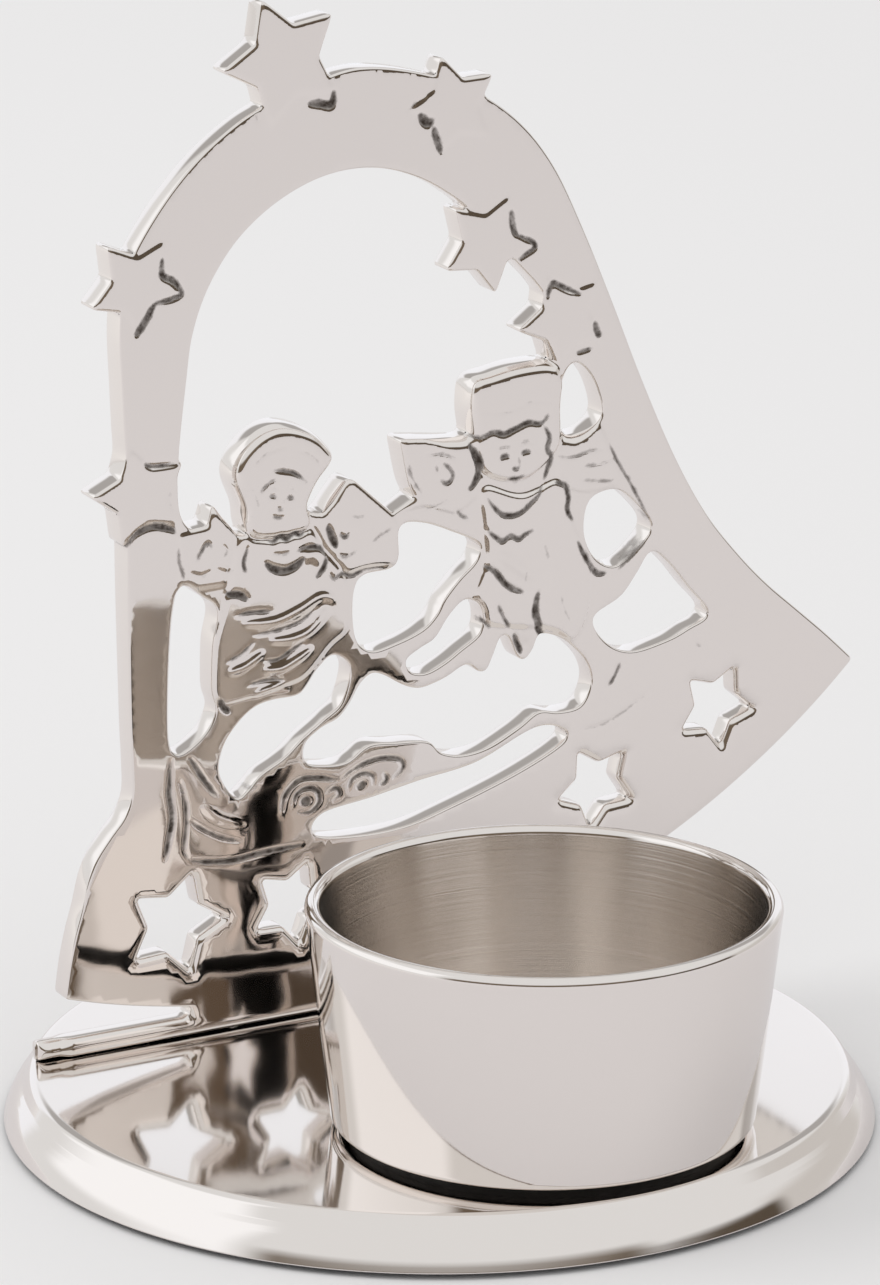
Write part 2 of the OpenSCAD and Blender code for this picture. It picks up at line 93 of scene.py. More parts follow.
LEFT_FIGURE_STROKES = [
    # hair and brow
    (0.2, 0.2, (-10.4, 68.3), (-9, 68.1), (-7.6, 67.6), (-6.1, 66.4)),
    (0.18, 0.16, (-12, 66), (-11, 66.9), (-9.9, 67.3)),
    (0.14, 0.12, (-12.6, 69.2), (-10.8, 70.4), (-8.6, 70.8)),
    (0.14, 0.12, (-7.2, 70.2), (-5.6, 69.3), (-4.4, 68)),
    (0.14, 0.12, (-13, 67.4), (-12.4, 65.6), (-12, 64.2)),
    # ruff
    (0.24, 0.24, (-11.2, 60.8), (-10.2, 60.3), (-9.4, 60.9), (-8.6, 60.4), (-7.7, 61),
     (-6.9, 60.6), (-6.2, 61.4)),
    # wing on the left
    (0.2, 0.18, (-21.3, 61.6), (-21.3, 59.6), (-20.7, 57.3)),
    (0.2, 0.2, (-19.3, 59.4), (-18.8, 60.3), (-18, 61.2), (-17.4, 60.6)),
    (0.14, 0.14, (-16.3, 60.9), (-15.7, 60), (-16.2, 59.2)),
    (0.14, 0.14, (-20, 58.2), (-18.8, 57.7), (-17.6, 58.1)),
    (0.14, 0.12, (-16.9, 58.2), (-15.6, 57.6), (-14.6, 58)),
    (0.22, 0.22, (-13.2, 60.3), (-13.8, 58.6), (-13.5, 57.3)),
    # arms and sleeves
    (0.36, 0.34, (-11.2, 58.1), (-10.2, 57.3), (-8.8, 56.9), (-7.4, 57.3), (-6.6, 58)),
    (0.24, 0.24, (-7.4, 58.9), (-6, 59.2), (-4.6, 58.9), (-3.8, 57.8)),
    (0.28, 0.26, (-3.8, 57.8), (-4.2, 56.5), (-5.1, 55.6)),
    (0.16, 0.14, (-10.4, 59), (-9.2, 58.8), (-8.2, 58.9)),
    # wing on the right
    (0.36, 0.34, (-3.6, 61.2), (-3.1, 59.9), (-2.5, 58.7)),
    (0.2, 0.2, (-2.2, 60.2), (-1.6, 59.6), (-0.9, 60)),
    (0.16, 0.16, (-2.4, 57.8), (-1.2, 57.4), (0, 58)),
    (0.16, 0.16, (1.6, 58.4), (2.9, 59.3), (4.6, 60)),
    (0.14, 0.12, (-1.4, 62.2), (0.2, 61.6), (1.4, 62)),
    # the wing's lower edge is a shaded side wall drawn as a stroke, so its dark colour is painted
    # shade
    (0.22, 0.2, (-3.4, 55.9), (-2.9, 55.1), (-1.9, 55.6), (-0.6, 55.1), (1, 55.6), (3.6, 55.5)),
    # gown
    (0.34, 0.3, (-15.8, 55.2), (-14.4, 55), (-13.3, 54.3)),
    (0.32, 0.3, (-16.6, 43.5), (-16, 42.5), (-15.3, 41.9)),
    (0.2, 0.2, (-14.6, 52.7), (-12.6, 52.8), (-10.4, 52.6)),
    (0.2, 0.2, (-12.6, 50.2), (-9.4, 50.4), (-6.8, 51), (-5, 52.2)),
    (0.2, 0.18, (-15.8, 47.6), (-14, 48.3), (-12.4, 49.6)),
    (0.22, 0.2, (-11.4, 47.2), (-9.6, 47), (-7.8, 47.9), (-6.4, 48.6)),
    (0.18, 0.18, (-13.4, 44.6), (-11, 44.9), (-8.6, 44.6)),
]
RIGHT_FIGURE_STROKES = [
    # fringe and curls round the face
    (0.26, 0.26, (13.6, 69), (15, 68.6), (16.4, 69.1), (17.8, 68.7), (19.3, 69.2), (20.8, 69.6),
     (22.4, 69.3), (23.4, 70.3)),
    (0.28, 0.28, (22.7, 69), (23.5, 67.6), (23.2, 66.3), (23.9, 65.2), (23.5, 64), (23, 62.7)),
    (0.24, 0.26, (22.9, 62.5), (22.3, 61.2), (21.3, 60.4), (20.2, 59.6), (19, 59.3),
     (17.7, 59.6), (16.7, 60.5), (15.8, 61.8)),
    (0.34, 0.34, (13.7, 68), (14.4, 66.8), (14.9, 65.4), (14.6, 64), (13.7, 62.9)),
    (0.12, 0.1, (15, 71.6), (18, 71.1), (21.6, 71.9), (24.2, 71.4)),
    # wing on the left
    (0.16, 0.16, (9.6, 66.2), (9.8, 65.4)),
    (0.22, 0.22, (10.1, 64.4), (11, 64), (11.7, 64.7), (11.2, 65.7), (10.4, 66.3)),
    (0.16, 0.16, (6.3, 66.8), (6.5, 65.6), (7.4, 63.9), (8.2, 62.8)),
    (0.16, 0.16, (8.4, 67.6), (10.4, 67.3), (12.2, 66.6)),
    (0.2, 0.18, (12.1, 61), (12.7, 60.1), (13.9, 59.5)),
    (0.14, 0.14, (7.6, 61.4), (9.6, 61.6), (11.6, 62.4)),
    # wing on the right
    (0.16, 0.16, (24.4, 65.3), (26.6, 64.9), (28.6, 65.3), (30.6, 65.4)),
    (0.16, 0.16, (27.8, 63.7), (30, 63.7), (31.8, 64.1)),
    (0.16, 0.16, (27.8, 62.1), (30.2, 61.7), (32, 61.6)),
    (0.3, 0.3, (24.4, 62.3), (25.6, 61.8), (26.1, 60.4), (25.9, 59), (26.7, 57.7)),
    (0.2, 0.2, (31.2, 65.8), (32.4, 63.4), (34.4, 60.2), (36.8, 55.8)),
    # collar
    (0.26, 0.24, (15.8, 58.2), (16.8, 57.2), (17.8, 56.5), (18.8, 57), (19.8, 56.5), (20.8, 57),
     (21.8, 57.3)),
    # gown
    (0.3, 0.28, (15.7, 54), (17, 53.1), (18.1, 51.7), (19.4, 50.8), (20.6, 50.3)),
    (0.14, 0.12, (23, 55.6), (23.4, 54.5), (23.9, 53.4)),
    (0.36, 0.34, (22.5, 50.1), (22.1, 48), (22.6, 46.1), (23.3, 44.5)),
    (0.2, 0.2, (17.4, 49.4), (18.2, 47.6), (19.3, 46)),
    (0.28, 0.28, (19.6, 45.6), (20.1, 44.2), (20.6, 43.2)),
    (0.14, 0.12, (25, 50.6), (25.6, 48), (26.6, 45.8)),
    (0.14, 0.12, (20.6, 54.4), (20.9, 52.6), (20.6, 51)),
    (0.28, 0.28, (27.2, 55.3), (28.4, 53.2), (29.8, 51.2), (31.2, 50.9)),
    (0.2, 0.18, (32.4, 50.8), (34.2, 52.3), (36.4, 54.2)),
    # knees and feet over the cloud
    (0.22, 0.2, (14.2, 49.9), (15.4, 48), (16.8, 46.6)),
    (0.2, 0.2, (31.6, 37.6), (32.5, 38.8), (33.2, 40.3)),
    (0.16, 0.14, (28.6, 33.2), (31, 33.4), (34, 34.6), (37.2, 36.5)),
    (0.14, 0.12, (42.8, 41), (43.8, 40.4)),
]
CLOUD_STROKES = [
    # scrolls
    (0.42, 0.38, (-6.4, 30.3), (-5.8, 30.3)),
    (0.22, 0.24, (-7.7, 30), (-7.2, 31.3), (-5.8, 31.8), (-4.6, 31.2), (-4.5, 29.9), (-5.6, 29),
     (-7, 29.1)),
    (0.36, 0.34, (0.4, 30.9), (1.1, 31.2)),
    (0.2, 0.2, (-0.9, 30.7), (-0.4, 31.9), (1, 32.4), (2.2, 31.8), (2.2, 30.7)),
    (0.24, 0.24, (-9, 29.4), (-8.6, 31.4), (-6.8, 32.9), (-4.2, 32.7), (-2, 32)),
    (0.22, 0.22, (-2, 32), (0.4, 33.3), (3, 33.8), (5.4, 33.3), (5.9, 32.2), (4.6, 31.1)),
    (0.2, 0.2, (3, 30.7), (3.9, 31.2), (3.5, 32)),
    (0.2, 0.2, (-3.6, 30.8), (-2.4, 31.3), (-1.9, 30.4), (-2.8, 29.9)),
    # strap beside the cloud
    (0.26, 0.26, (-22.3, 37.6), (-22.6, 34), (-22.3, 31), (-22.8, 28.2), (-23.2, 26.3)),
    (0.26, 0.26, (-20.1, 37.4), (-19.2, 35.9), (-18.1, 34.2), (-16.8, 32.6)),
    (0.2, 0.2, (-21.4, 35.2), (-20.7, 32.6), (-20.6, 30), (-20.9, 27.2), (-20.4, 26)),
    (0.2, 0.2, (-20.2, 30.4), (-18.8, 29.2), (-16.4, 27.8), (-14, 27)),
    # hem of the skirt
    (0.26, 0.26, (-20.4, 25.8), (-16, 25), (-11, 25.3), (-6.4, 25.4)),
    (0.2, 0.18, (-16.2, 33.6), (-14.2, 32.6), (-12.4, 33.2)),
]
# Raised strokes: the ridges of the gowns' folds and of the clouds
RIDGE_STROKES = [
    (0.6, 0.34, (-13.6, 51.6), (-10, 51.4), (-7, 52.3), (-4.5, 53.4), (-2.8, 52.9)),
    (0.55, 0.32, (-10.4, 49.2), (-8, 49.1), (-6, 49.6), (-4.5, 50.8), (-3.9, 51.8)),
    (0.5, 0.3, (-15.4, 46.4), (-13.5, 46.8), (-11.4, 48)),
    (0.5, 0.3, (-11.2, 46), (-9.2, 45.9), (-7.2, 46.7), (-5.6, 47.6)),
    (0.45, 0.28, (-12.4, 43.3), (-10.4, 43.7), (-8, 43.4)),
    (0.6, 0.2, (-6.6, 57.9), (-5.4, 58.2), (-4.8, 57.4)),
    (0.9, 0.26, (24.6, 52.6), (25, 49.6), (26, 46.6), (26.8, 43.6)),
    (0.8, 0.24, (20.4, 48.6), (20.9, 46.8), (21.3, 44.8)),
    (0.7, 0.22, (17.6, 55), (19.4, 53.6), (21.4, 52)),
    (0.5, 0.2, (-18.6, 31.8), (-16.6, 30), (-13.6, 28.8)),
]
# Faces, calm and plain: middle (x, z), half width in millimetres, and tilt in degrees
FACES = [(-9.4, 64.9, 2.7, -12), (19.2, 65.8, 3.3, 4)]
# One face on a half width of 1, u to the right and v up: brows, eyes, nose, mouth and lower lip
FACE_GROOVES = [
    (0.06, 0.07, (-0.64, 0.4), (-0.42, 0.5), (-0.16, 0.42)),
    (0.06, 0.07, (0.16, 0.42), (0.42, 0.5), (0.64, 0.4)),
    (0.08, 0.13, (-0.58, 0.1), (-0.4, 0.17), (-0.22, 0.1)),
    (0.08, 0.13, (0.22, 0.1), (0.4, 0.17), (0.58, 0.1)),
    (0.055, 0.07, (0.12, 0.14), (0.13, -0.08), (0.19, -0.26)),
    (0.075, 0.11, (-0.16, -0.3), (0, -0.37), (0.16, -0.3)),
    (0.08, 0.12, (-0.3, -0.66), (0, -0.71), (0.3, -0.66)),
    (0.055, 0.06, (-0.14, -0.88), (0, -0.91), (0.14, -0.88)),
]
# The nose's ridge
FACE_RIDGES = [(0.16, 0.03, (0, 0.2), (0, 0), (0, -0.22))]
# A face's height over its width, its dome's height and its strokes' share, on a half width of 1
FACE_TALL = 1.28
FACE_DOME = 0.03
FACE_SHARE = 0.5

# Waves left by hand polishing: height, radians per millimetre across and up, then a bend of the
# wave's line: its size, and radians per millimetre across and up
POLISH_WAVES = [
    (1, 0.31, 0, 1.1, 0, 0.17),
    (1, 0, 0.37, 1.3, 0.21, 0),
    (0.5, 0.9, 0.6, 0, 0, 0),
    (0.35, -1.1, 1.7, 0, 0, 0),
]
# How far from an outline distances are measured, in millimetres
REACH = 3
# Room round the panel on the height map, in millimetres, beside it and below it
BESIDE = 2
BELOW = 3
# Steps of a smooth line between the corners of a packed outline
OUTLINE_STEPS = 3
# Corners of a star hole, and the most that one measures across in millimetres
STAR_CORNERS = 10
STAR_SIZE = 13
# The least area of a level of the relief, in square millimetres, and the least extent of one of its
# outlines: smaller ones are pits that the solid's faces cut in the heads
LEVEL_AREA = 30
LEVEL_EXTENT = 6
# How far the foot bar and the panel melt into each other, in millimetres
BAR_MELT = 0.9
# How much of their drawn depth the strokes keep, and the relief's blur in steps of the height map
STROKE_SHARE = 0.6
RELIEF_BLUR = 1.1
# Oxide and painted shade in the strokes: their blur in steps, the depth over which they darken, and
# the share that stays clean
OXIDE_AND_SHADE_BLUR = 1.4
OXIDE_AND_SHADE_DEPTH = 0.11
OXIDE_AND_SHADE_CLEAN = 0.25
# Where one thing turns softly into another, in millimetres, from a start and over a width: the
# bar's rounding above its top and near its ends, a star hole's rounding, the foot's step at the
# back, and the bow by its height over the foot
BAR_TOP_FADE = (-0.48, 1.6)
BAR_END_FADE = (-4, 1.5)
HOLE_FADE = (-2.8, 1.2)
FOOT_FADE = (0, 0.6)
BOW_RISE = (35, 24)
BOW_EASE = (58, 56)
# How far out a head's rounding has faded, in half widths of its face
HEAD_FADE = 3.4
# Steps of a smooth line between a stroke's points, the share of its length that tapers at each end,
# and how thin it gets there
STROKE_STEPS = 5
TAPER = 0.3
THIN_END = 0.4
# The mesh is fine where strokes are this deep or the relief bends this much in a step of the height
# map, both under a blur in steps, and half as fine within some millimetres of the figures
FINE_DEPTH = 0.03
FINE_DEPTH_BLUR = 2.2
FINE_BEND = 0.0016
FINE_BEND_BLUR = 2.5
FIGURE_MARGIN = 1.5
# Spacing of points along the outline and the insets of its rings, which end where the rounding does
RING_SPACING = 0.26
BACK_RING_SPACING = RING_SPACING * 1.3
FRONT_INSETS = (0.03, 0.12, 0.25, 0.42, 0.65, 0.95, 1.3)
BACK_INSETS = (0.06, 0.3, 0.65, 1.1)
RING_KEPT = 0.98
# Where the loose points start inside the rounding, and their pitch and the foot's step on the back
FRONT_START = 0.12
BACK_START = 0.3
BACK_PITCH = 0.4
BACK_STEP = 0.7
# In millimetres: how flat a level is, how close to the outline a point counts as on it, and how long
# the stretches are in which overlapping outlines are looked at
LEVEL_TOLERANCE = 0.004
OUTLINE_SNAP = 0.008
STRETCH = 0.5
# Steps to the millimetre in which corners are told apart
CORNER_STEPS = 500
# Corners of a turned section closer than this are welded
WELD = 0.002 * MM
# Steps in the sloping rim of the base
RIM_STEPS = 8
# How far down or up a face's normal points on the base's underside and on the cup's floor
UNDER_NORMAL = -0.9
FLOOR_NORMAL = 0.1

# The studio as the metal shows it, patch over patch. Azimuths run clockwise from +Y as seen from
# above. Each patch: azimuth, half width, elevation, half height and soft edge in degrees, then
# level and colour
STUDIO_PATCHES = [
    # grey wall behind, and a pale wall below it
    (28, 42, 33, 10, 8, 0.44, "FFFCFA"),
    (20, 34, 8, 15, 6, 1.05, "F8FAFF"),
    # window on the left
    (-62, 34, 30, 19, 10, 1.1, "FCFDFF"),
    # wall on the right
    (88, 26, 9, 11, 12, 0.64, "FFFBF7"),
    # dark room behind the camera and to its right
    (-155, 51, 6, 15, 12, 0.16, "FFE4C6"),
    (138, 28, 3, 12, 8, 0.1, "FFE4C6"),
]


def length(name, millimetres, description):
    """A length setting, given in millimetres."""
    return FloatProperty(name=name, description=description, default=millimetres * MM, min=0,
                         unit="LENGTH", precision=5)


def tint(name, code, description):
    """A colour setting, given as an sRGB hex value."""
    return StringProperty(name=name, description=description, default=code)


class HolderCasting(bpy.types.PropertyGroup):
    """Sizes and colours of the cast bell panel"""

    edge_radius: length("Edge radius", 0.25, "Rounding of the face's edges")
    back_radius: length("Back radius", 0.3, "Rounding of the back's edges")
    bar_radius: length("Bar radius", 1.1, "Rounding of the foot bar")
    bar_end_radius: length("Bar end radius", 1.85, "Rounding of the foot bar's ends")
    hole_radius: length("Hole radius", 0.9, "Rounding round the star holes")
    head_radius: length("Head radius", 1.2, "Rounding of the heads' outlines")
    bow: length("Bow", 0.55, "How far the polished face bows forward at the figures")
    raster_pitch: length("Raster pitch", 0.1, "Pitch of the height map")
    corner_blur: length("Corner blur", 0.22, "How far the outline's corners are softened")
    layer_slope: length("Layer slope", 0.55, "Width of the relief's slopes")
    fine_pitch: length("Fine pitch", 0.22, "Mesh pitch at engraved strokes")
    waviness: length("Waviness", 0.004, "Height of the hand-polished face's waves")
    star_share: FloatProperty(name="Star height", default=0.25, min=0, max=1,
                              description="Height of the band's stars as a share of the solid's")
    metal_hex: tint("Metal", "EFEAE6", "Colour of the polished plating")
    # The strokes' dark colour: oxide in the engraved hollows, and painted shade where strokes trace
    # shaded steps and walls
    oxide_and_shade_hex: tint("Patina", "544C46", "Colour of the oxide in the strokes")


class HolderTurning(bpy.types.PropertyGroup):
    """Sizes and colours of the turned base and cup"""

    segments: IntProperty(name="Segments", description="Steps round a turned piece", default=240,
                          min=32, max=512)
    hub: length("Hub", 5, "Radius of the path that a section is swept along")
    base_top: length("Base top", 44.3, "Radius at which the base's rim meets its top")
    base_shoulder: length("Base shoulder", 1.1, "Radius of the base's shoulder")
    base_edge: length("Base edge", 0.15, "Radius of the base's lower edge")
    base_crown: length("Base crown", 0.35, "How far the middle of the base's rim swells")
    recess: length("Recess", 43.45, "Radius of the pad's recess under the base")
    cup_foot: length("Cup foot", 22.35, "Radius of the cup at its foot")
    cup_wall: length("Cup wall", 1.7, "Thickness of the cup's wall")
    cup_edge: length("Cup edge", 1, "Radius of the cup's foot edge")
    cup_fillet: length("Cup fillet", 1.4, "Radius between the cup's floor and wall")
    ring: length("Ring", 12, "Radius of the turned ring in the cup's floor")
    ring_width: length("Ring width", 0.8, "Width of the turned ring in the cup's floor")
    ring_depth: length("Ring depth", 0.3, "Depth of the turned ring in the cup's floor")
    screw_hole: length("Screw hole", 1.6, "Radius of the hole for the cup's screw")
    screw_seat: length("Screw seat", 3, "Radius of the screw's sunk seat in the cup's floor")
    line_pitch: length("Line pitch", 0.4, "Spacing of the turning lines")
    metal_hex: tint("Metal", "EFEAE6", "Colour of the polished plating")
    # The inside is the same plating as the outside, coloured a little darker: painted shade in the
    # cup
    inside_shade_hex: tint("Inside", "E7E1DB", "Colour of the cup's turned inside")


class HolderStage(bpy.types.PropertyGroup):
    """Camera, floor and light"""

    camera_place: FloatVectorProperty(name="Camera", description="Place of the camera",
                                      default=(-0.3123, -0.5753, 0.2536), unit="LENGTH")
    camera_turn: FloatVectorProperty(name="Camera turn", description="Turn of the camera",
                                     default=(math.radians(72.96), 0, math.radians(-28.5)),
                                     subtype="EULER")
    lens: FloatProperty(name="Lens", description="Focal length on a 36 mm sensor",
                        default=182, min=20, max=400, unit="CAMERA")
    floor_hex: tint("Floor", "EFEEEE", "Colour of the floor")
    # The near and far floor colours are painted shade and painted light, which only the metal shows
    near_floor_shade_hex: tint("Near floor", "E7E4E5", "Colour of the near floor as the metal shows it")
    far_floor_light_hex: tint("Far floor", "F0EEED", "Colour of the floor behind as the metal shows it")
    surround_hex: tint("Surround", "F0F0F0", "Colour of the surround")
    studio_level: FloatProperty(name="Studio", description="Level of the studio in the metal",
                                default=0.81, min=0, max=4)
    light_place: FloatVectorProperty(name="Light", description="Place of the soft box",
                                     default=(-0.9, 0.4, 0.9), unit="LENGTH")
    light_aim: FloatVectorProperty(name="Light aim", description="Point that the soft box faces",
                                   default=(0, 0, 0.05), unit="LENGTH")
    light_size: FloatProperty(name="Light size", description="Side of the soft box", default=0.8,
                              min=0.01, unit="LENGTH")
    light_power: FloatProperty(name="Light power", description="Power of the soft box in watts",
                               default=3, min=0)


def hex_colour(code):
    """Turns an sRGB hex colour into a linear one for a shader."""
    parts = [int(code[i:i + 2], 16) / 255 for i in (0, 2, 4)]
    linear = [p / 12.92 if p <= 0.04045 else ((p + 0.055) / 1.055) ** 2.4 for p in parts]
    return (*linear, 1)


def add_node(tree, kind, inputs=None, **settings):
    """Adds a node. Its inputs are constants, sockets, or nodes that give their first output."""
    node = tree.nodes.new(kind)
    for name, value in settings.items():
        setattr(node, name, value)
    for key, value in (inputs or {}).items():
        if isinstance(value, bpy.types.Node):
            value = value.outputs[0]
        if isinstance(value, bpy.types.NodeSocket):
            tree.links.new(value, node.inputs[key])
        else:
            node.inputs[key].default_value = value
    return node


# Every pattern's scale below is its patches to the millimetre
def new_material(name):
    """A fresh node material and its empty tree."""
    material = bpy.data.materials.new(name)
    material.use_nodes = True
    material.node_tree.nodes.clear()
    return material, material.node_tree


class Raster:
    """A grid of points over the panel in drawing millimetres, with smooth sampling."""

    def __init__(self, low, high, pitch):
        self.low = np.array(low, float)
        self.pitch = pitch
        self.count = np.ceil((np.array(high) - self.low) / pitch).astype(int) + 1
        self.x = self.low[0] + pitch * np.arange(self.count[0])
        self.z = self.low[1] + pitch * np.arange(self.count[1])

    def window(self, low, high):
        """Slices of the grid that cover a box."""
        first = np.floor((np.array(low) - self.low) / self.pitch).astype(int)
        last = np.ceil((np.array(high) - self.low) / self.pitch).astype(int) + 1
        first = np.clip(first, 0, self.count)
        last = np.clip(last, 0, self.count)
        return slice(first[0], last[0]), slice(first[1], last[1])

    def sample(self, field, points):
        """The field's value at points, blended between the grid's points."""
        place = (points - self.low) / self.pitch
        place = np.clip(place, 0, self.count - 1.001)
        cell = place.astype(int)
        s, t = (place - cell).T
        i, j = cell.T
        return ((field[i, j] * (1 - s) + field[i + 1, j] * s) * (1 - t)
                + (field[i, j + 1] * (1 - s) + field[i + 1, j + 1] * s) * t)


def blurred(field, radius):
    """The field under a Gaussian blur, with the radius in grid steps."""
    reach = int(math.ceil(3 * radius))
    weights = np.exp(-0.5 * (np.arange(-reach, reach + 1) / radius) ** 2)
    weights /= weights.sum()
    for axis in (0, 1):
        pad = [(reach, reach) if a == axis else (0, 0) for a in (0, 1)]
        wide = np.pad(field, pad, mode="edge")
        total = np.zeros_like(field)
        for step, weight in enumerate(weights):
            part = [slice(None), slice(None)]
            part[axis] = slice(step, step + field.shape[axis])
            total += weight * wide[tuple(part)]
        field = total
    return field


def spline(points, steps, closed, corner=math.radians(28)):
    """A smooth line through points, which keeps corners sharper than the given turn."""
    points = np.array(points, float)
    count = len(points)
    last = count if closed else count - 1
    ahead = np.roll(points, -1, axis=0) - points
    behind = np.roll(ahead, 1, axis=0)
    turn = np.abs(np.arctan2(behind[:, 0] * ahead[:, 1] - behind[:, 1] * ahead[:, 0],
                             (behind * ahead).sum(axis=1)))
    sharp = turn > corner if closed else np.zeros(count, bool)
    made = []
    for i in range(last):
        b, c = points[i], points[(i + 1) % count]
        a = points[i - 1] if closed or i > 0 else b
        d = points[(i + 2) % count] if closed or i + 2 < count else c
        a = b if sharp[i] else a
        d = c if sharp[(i + 1) % count] else d
        for s in range(steps):
            t = s / steps
            made.append((2 * b + (c - a) * t + (2 * a - 5 * b + 4 * c - d) * t * t
                         + (3 * b - a - 3 * c + d) * t ** 3) / 2)
    if not closed:
        made.append(points[-1])
    return np.array(made)


def flat_loops(corners, depth):
    """Closed outlines, in (x, z), of the triangles that lie flat at one depth."""
    flat = corners[np.all(np.abs(corners[:, :, 1] - depth) < LEVEL_TOLERANCE, axis=1)]
    keys = np.round(flat[:, :, (0, 2)] * CORNER_STEPS).astype(int).reshape(-1, 2)
    _, first, ids = np.unique(keys, axis=0, return_index=True, return_inverse=True)
    places = flat[:, :, (0, 2)].reshape(-1, 2)[first]
    ids = ids.reshape(-1, 3)
    sides = {(t[k], t[(k + 1) % 3]) for t in ids for k in range(3)}
    onward = {}
    for a, b in sides:
        if (b, a) not in sides and a != b:
            onward.setdefault(a, []).append(b)
    loops = []
    while onward:
        start = next(iter(onward))
        loop, here = [], start
        while here in onward:
            loop.append(here)
            following = onward[here].pop()
            if not onward[here]:
                del onward[here]
            here = following
        if len(loop) > 2:
            loops.append(places[loop])
    return loops


def covered(raster, loops):
    """Which of the raster's points closed outlines hold."""
    inside = np.zeros(raster.count, bool)
    for loop in loops:
        for a, b in zip(loop, np.roll(loop, -1, axis=0)):
            rows = np.flatnonzero((raster.z >= min(a[1], b[1])) & (raster.z < max(a[1], b[1])))
            if len(rows):
                crossing = a[0] + (raster.z[rows] - a[1]) * (b[0] - a[0]) / (b[1] - a[1])
                inside[:, rows] ^= raster.x[:, None] > crossing[None, :]
    return inside


def signed_distance(raster, groups):
    """Distance to the joined shape of groups of closed outlines, positive inside, up to REACH."""
    inside = np.zeros(raster.count, bool)
    for loops in groups:
        inside |= covered(raster, loops)
    distance = np.full(raster.count, float(REACH))
    for loop in (loop for loops in groups for loop in loops):
        for start, end in zip(loop, np.roll(loop, -1, axis=0)):
            span = math.hypot(*(end - start))
            if span < 1e-6:
                continue
            along = (end - start) / span
            # Stretches that another group covers are inside the joined shape, so they don't count
            pieces = max(1, math.ceil(span / STRETCH)) if len(groups) > 1 else 1
            for k in range(pieces):
                a = start + along * span * k / pieces
                b = start + along * span * (k + 1) / pieces
                if len(groups) > 1:
                    across = np.array([along[1], -along[0]]) * 1.5 * raster.pitch
                    sides = raster.sample(inside * 1.0, np.array([a + b, a + b]) / 2
                                          + np.array([across, -across]))
                    if sides.min() > 0.99:
                        continue
                win = raster.window(np.minimum(a, b) - REACH, np.maximum(a, b) + REACH)
                px = raster.x[win[0], None] - a[0]
                pz = raster.z[None, win[1]] - a[1]
                t = np.clip(px * along[0] + pz * along[1], 0, span / pieces)
                near = np.hypot(px - t * along[0], pz - t * along[1])
                distance[win] = np.minimum(distance[win], near)
    return np.where(inside, distance, -distance)


# For each pattern of a cell's four corners, the cell sides that an outline enters and leaves by
CELL_SIDES = {1: [(0, 3)], 2: [(1, 0)], 3: [(1, 3)], 4: [(2, 1)], 5: [(0, 3), (2, 1)], 6: [(2, 0)],
              7: [(2, 3)], 8: [(3, 2)], 9: [(0, 2)], 10: [(1, 0), (3, 2)], 11: [(1, 2)],
              12: [(3, 1)], 13: [(0, 1)], 14: [(3, 0)]}


def contours(raster, field, level, spacing, shortest=1.5):
    """Closed outlines where the field has a level, inside on the left, as evenly spaced points."""
    above = field > level
    nz = raster.count[1]
    pattern = (above[:-1, :-1] * 1 + above[1:, :-1] * 2 + above[1:, 1:] * 4 + above[:-1, 1:] * 8)
    onward = {}
    for case, pairs in CELL_SIDES.items():
        i, j = np.nonzero(pattern == case)
        side = [2 * (i * nz + j), 2 * ((i + 1) * nz + j) + 1, 2 * (i * nz + j + 1),
                2 * (i * nz + j) + 1]
        for enter, leave in pairs:
            onward.update(zip(side[enter].tolist(), side[leave].tolist()))
    loops = []
    while onward:
        here = next(iter(onward))
        loop = []
        while here in onward:
            loop.append(here)
            here = onward.pop(here)
        ids = np.array(loop)
        upright = ids % 2
        i, j = np.divmod(ids // 2, nz)
        start = field[i, j]
        end = field[i + 1 - upright, j + upright]
        share = (level - start) / (end - start)
        points = raster.low + raster.pitch * np.stack(
            [i + share * (1 - upright), j + share * upright], axis=1)
        lengths = np.linalg.norm(np.roll(points, -1, axis=0) - points, axis=1)
        total = lengths.sum()
        if total < shortest:
            continue
        along = np.concatenate([[0], np.cumsum(lengths)])
        closed = np.vstack([points, points[:1]])
        wanted = np.arange(0, total - spacing / 2, total / max(6, round(total / spacing)))
        loops.append(np.stack([np.interp(wanted, along, closed[:, k]) for k in (0, 1)], axis=1))
    return loops


def draw_strokes(raster, strokes):
    """The height of rounded strokes on the raster, thin at their ends."""
    drawn = np.zeros(raster.count)
    for half, height, *points in strokes:
        line = spline(points, STROKE_STEPS, closed=False)
        reach = 3 * half
        for k in range(len(line) - 1):
            a, b = line[k], line[k + 1]
            run = b - a
            win = raster.window(np.minimum(a, b) - reach, np.maximum(a, b) + reach)
            px = raster.x[win[0], None] - a[0]
            pz = raster.z[None, win[1]] - a[1]
            t = np.clip((px * run[0] + pz * run[1]) / max(run @ run, 1e-12), 0, 1)
            near = np.hypot(px - t * run[0], pz - t * run[1])
            along = (k + t) / (len(line) - 1)
            weight = np.clip(np.minimum(along, 1 - along) / TAPER, 0, 1) ** 0.5
            weight = THIN_END + (1 - THIN_END) * weight
            value = height * weight * np.exp(-(near / (half * weight)) ** 2)
            drawn[win] = np.maximum(drawn[win], value)
    return drawn


def face_strokes(strokes, face):
    """A face's strokes, moved from its own square to the drawing."""
    x, z, half, tilt = face
    turn = math.radians(tilt)
    placed = []
    for width, height, *points in strokes:
        moved = [(x + half * (u * math.cos(turn) - v * math.sin(turn)),
                  z + half * (u * math.sin(turn) + v * math.cos(turn))) for u, v in points]
        placed.append((width * half, height * half * FACE_SHARE, *moved))
    return placed


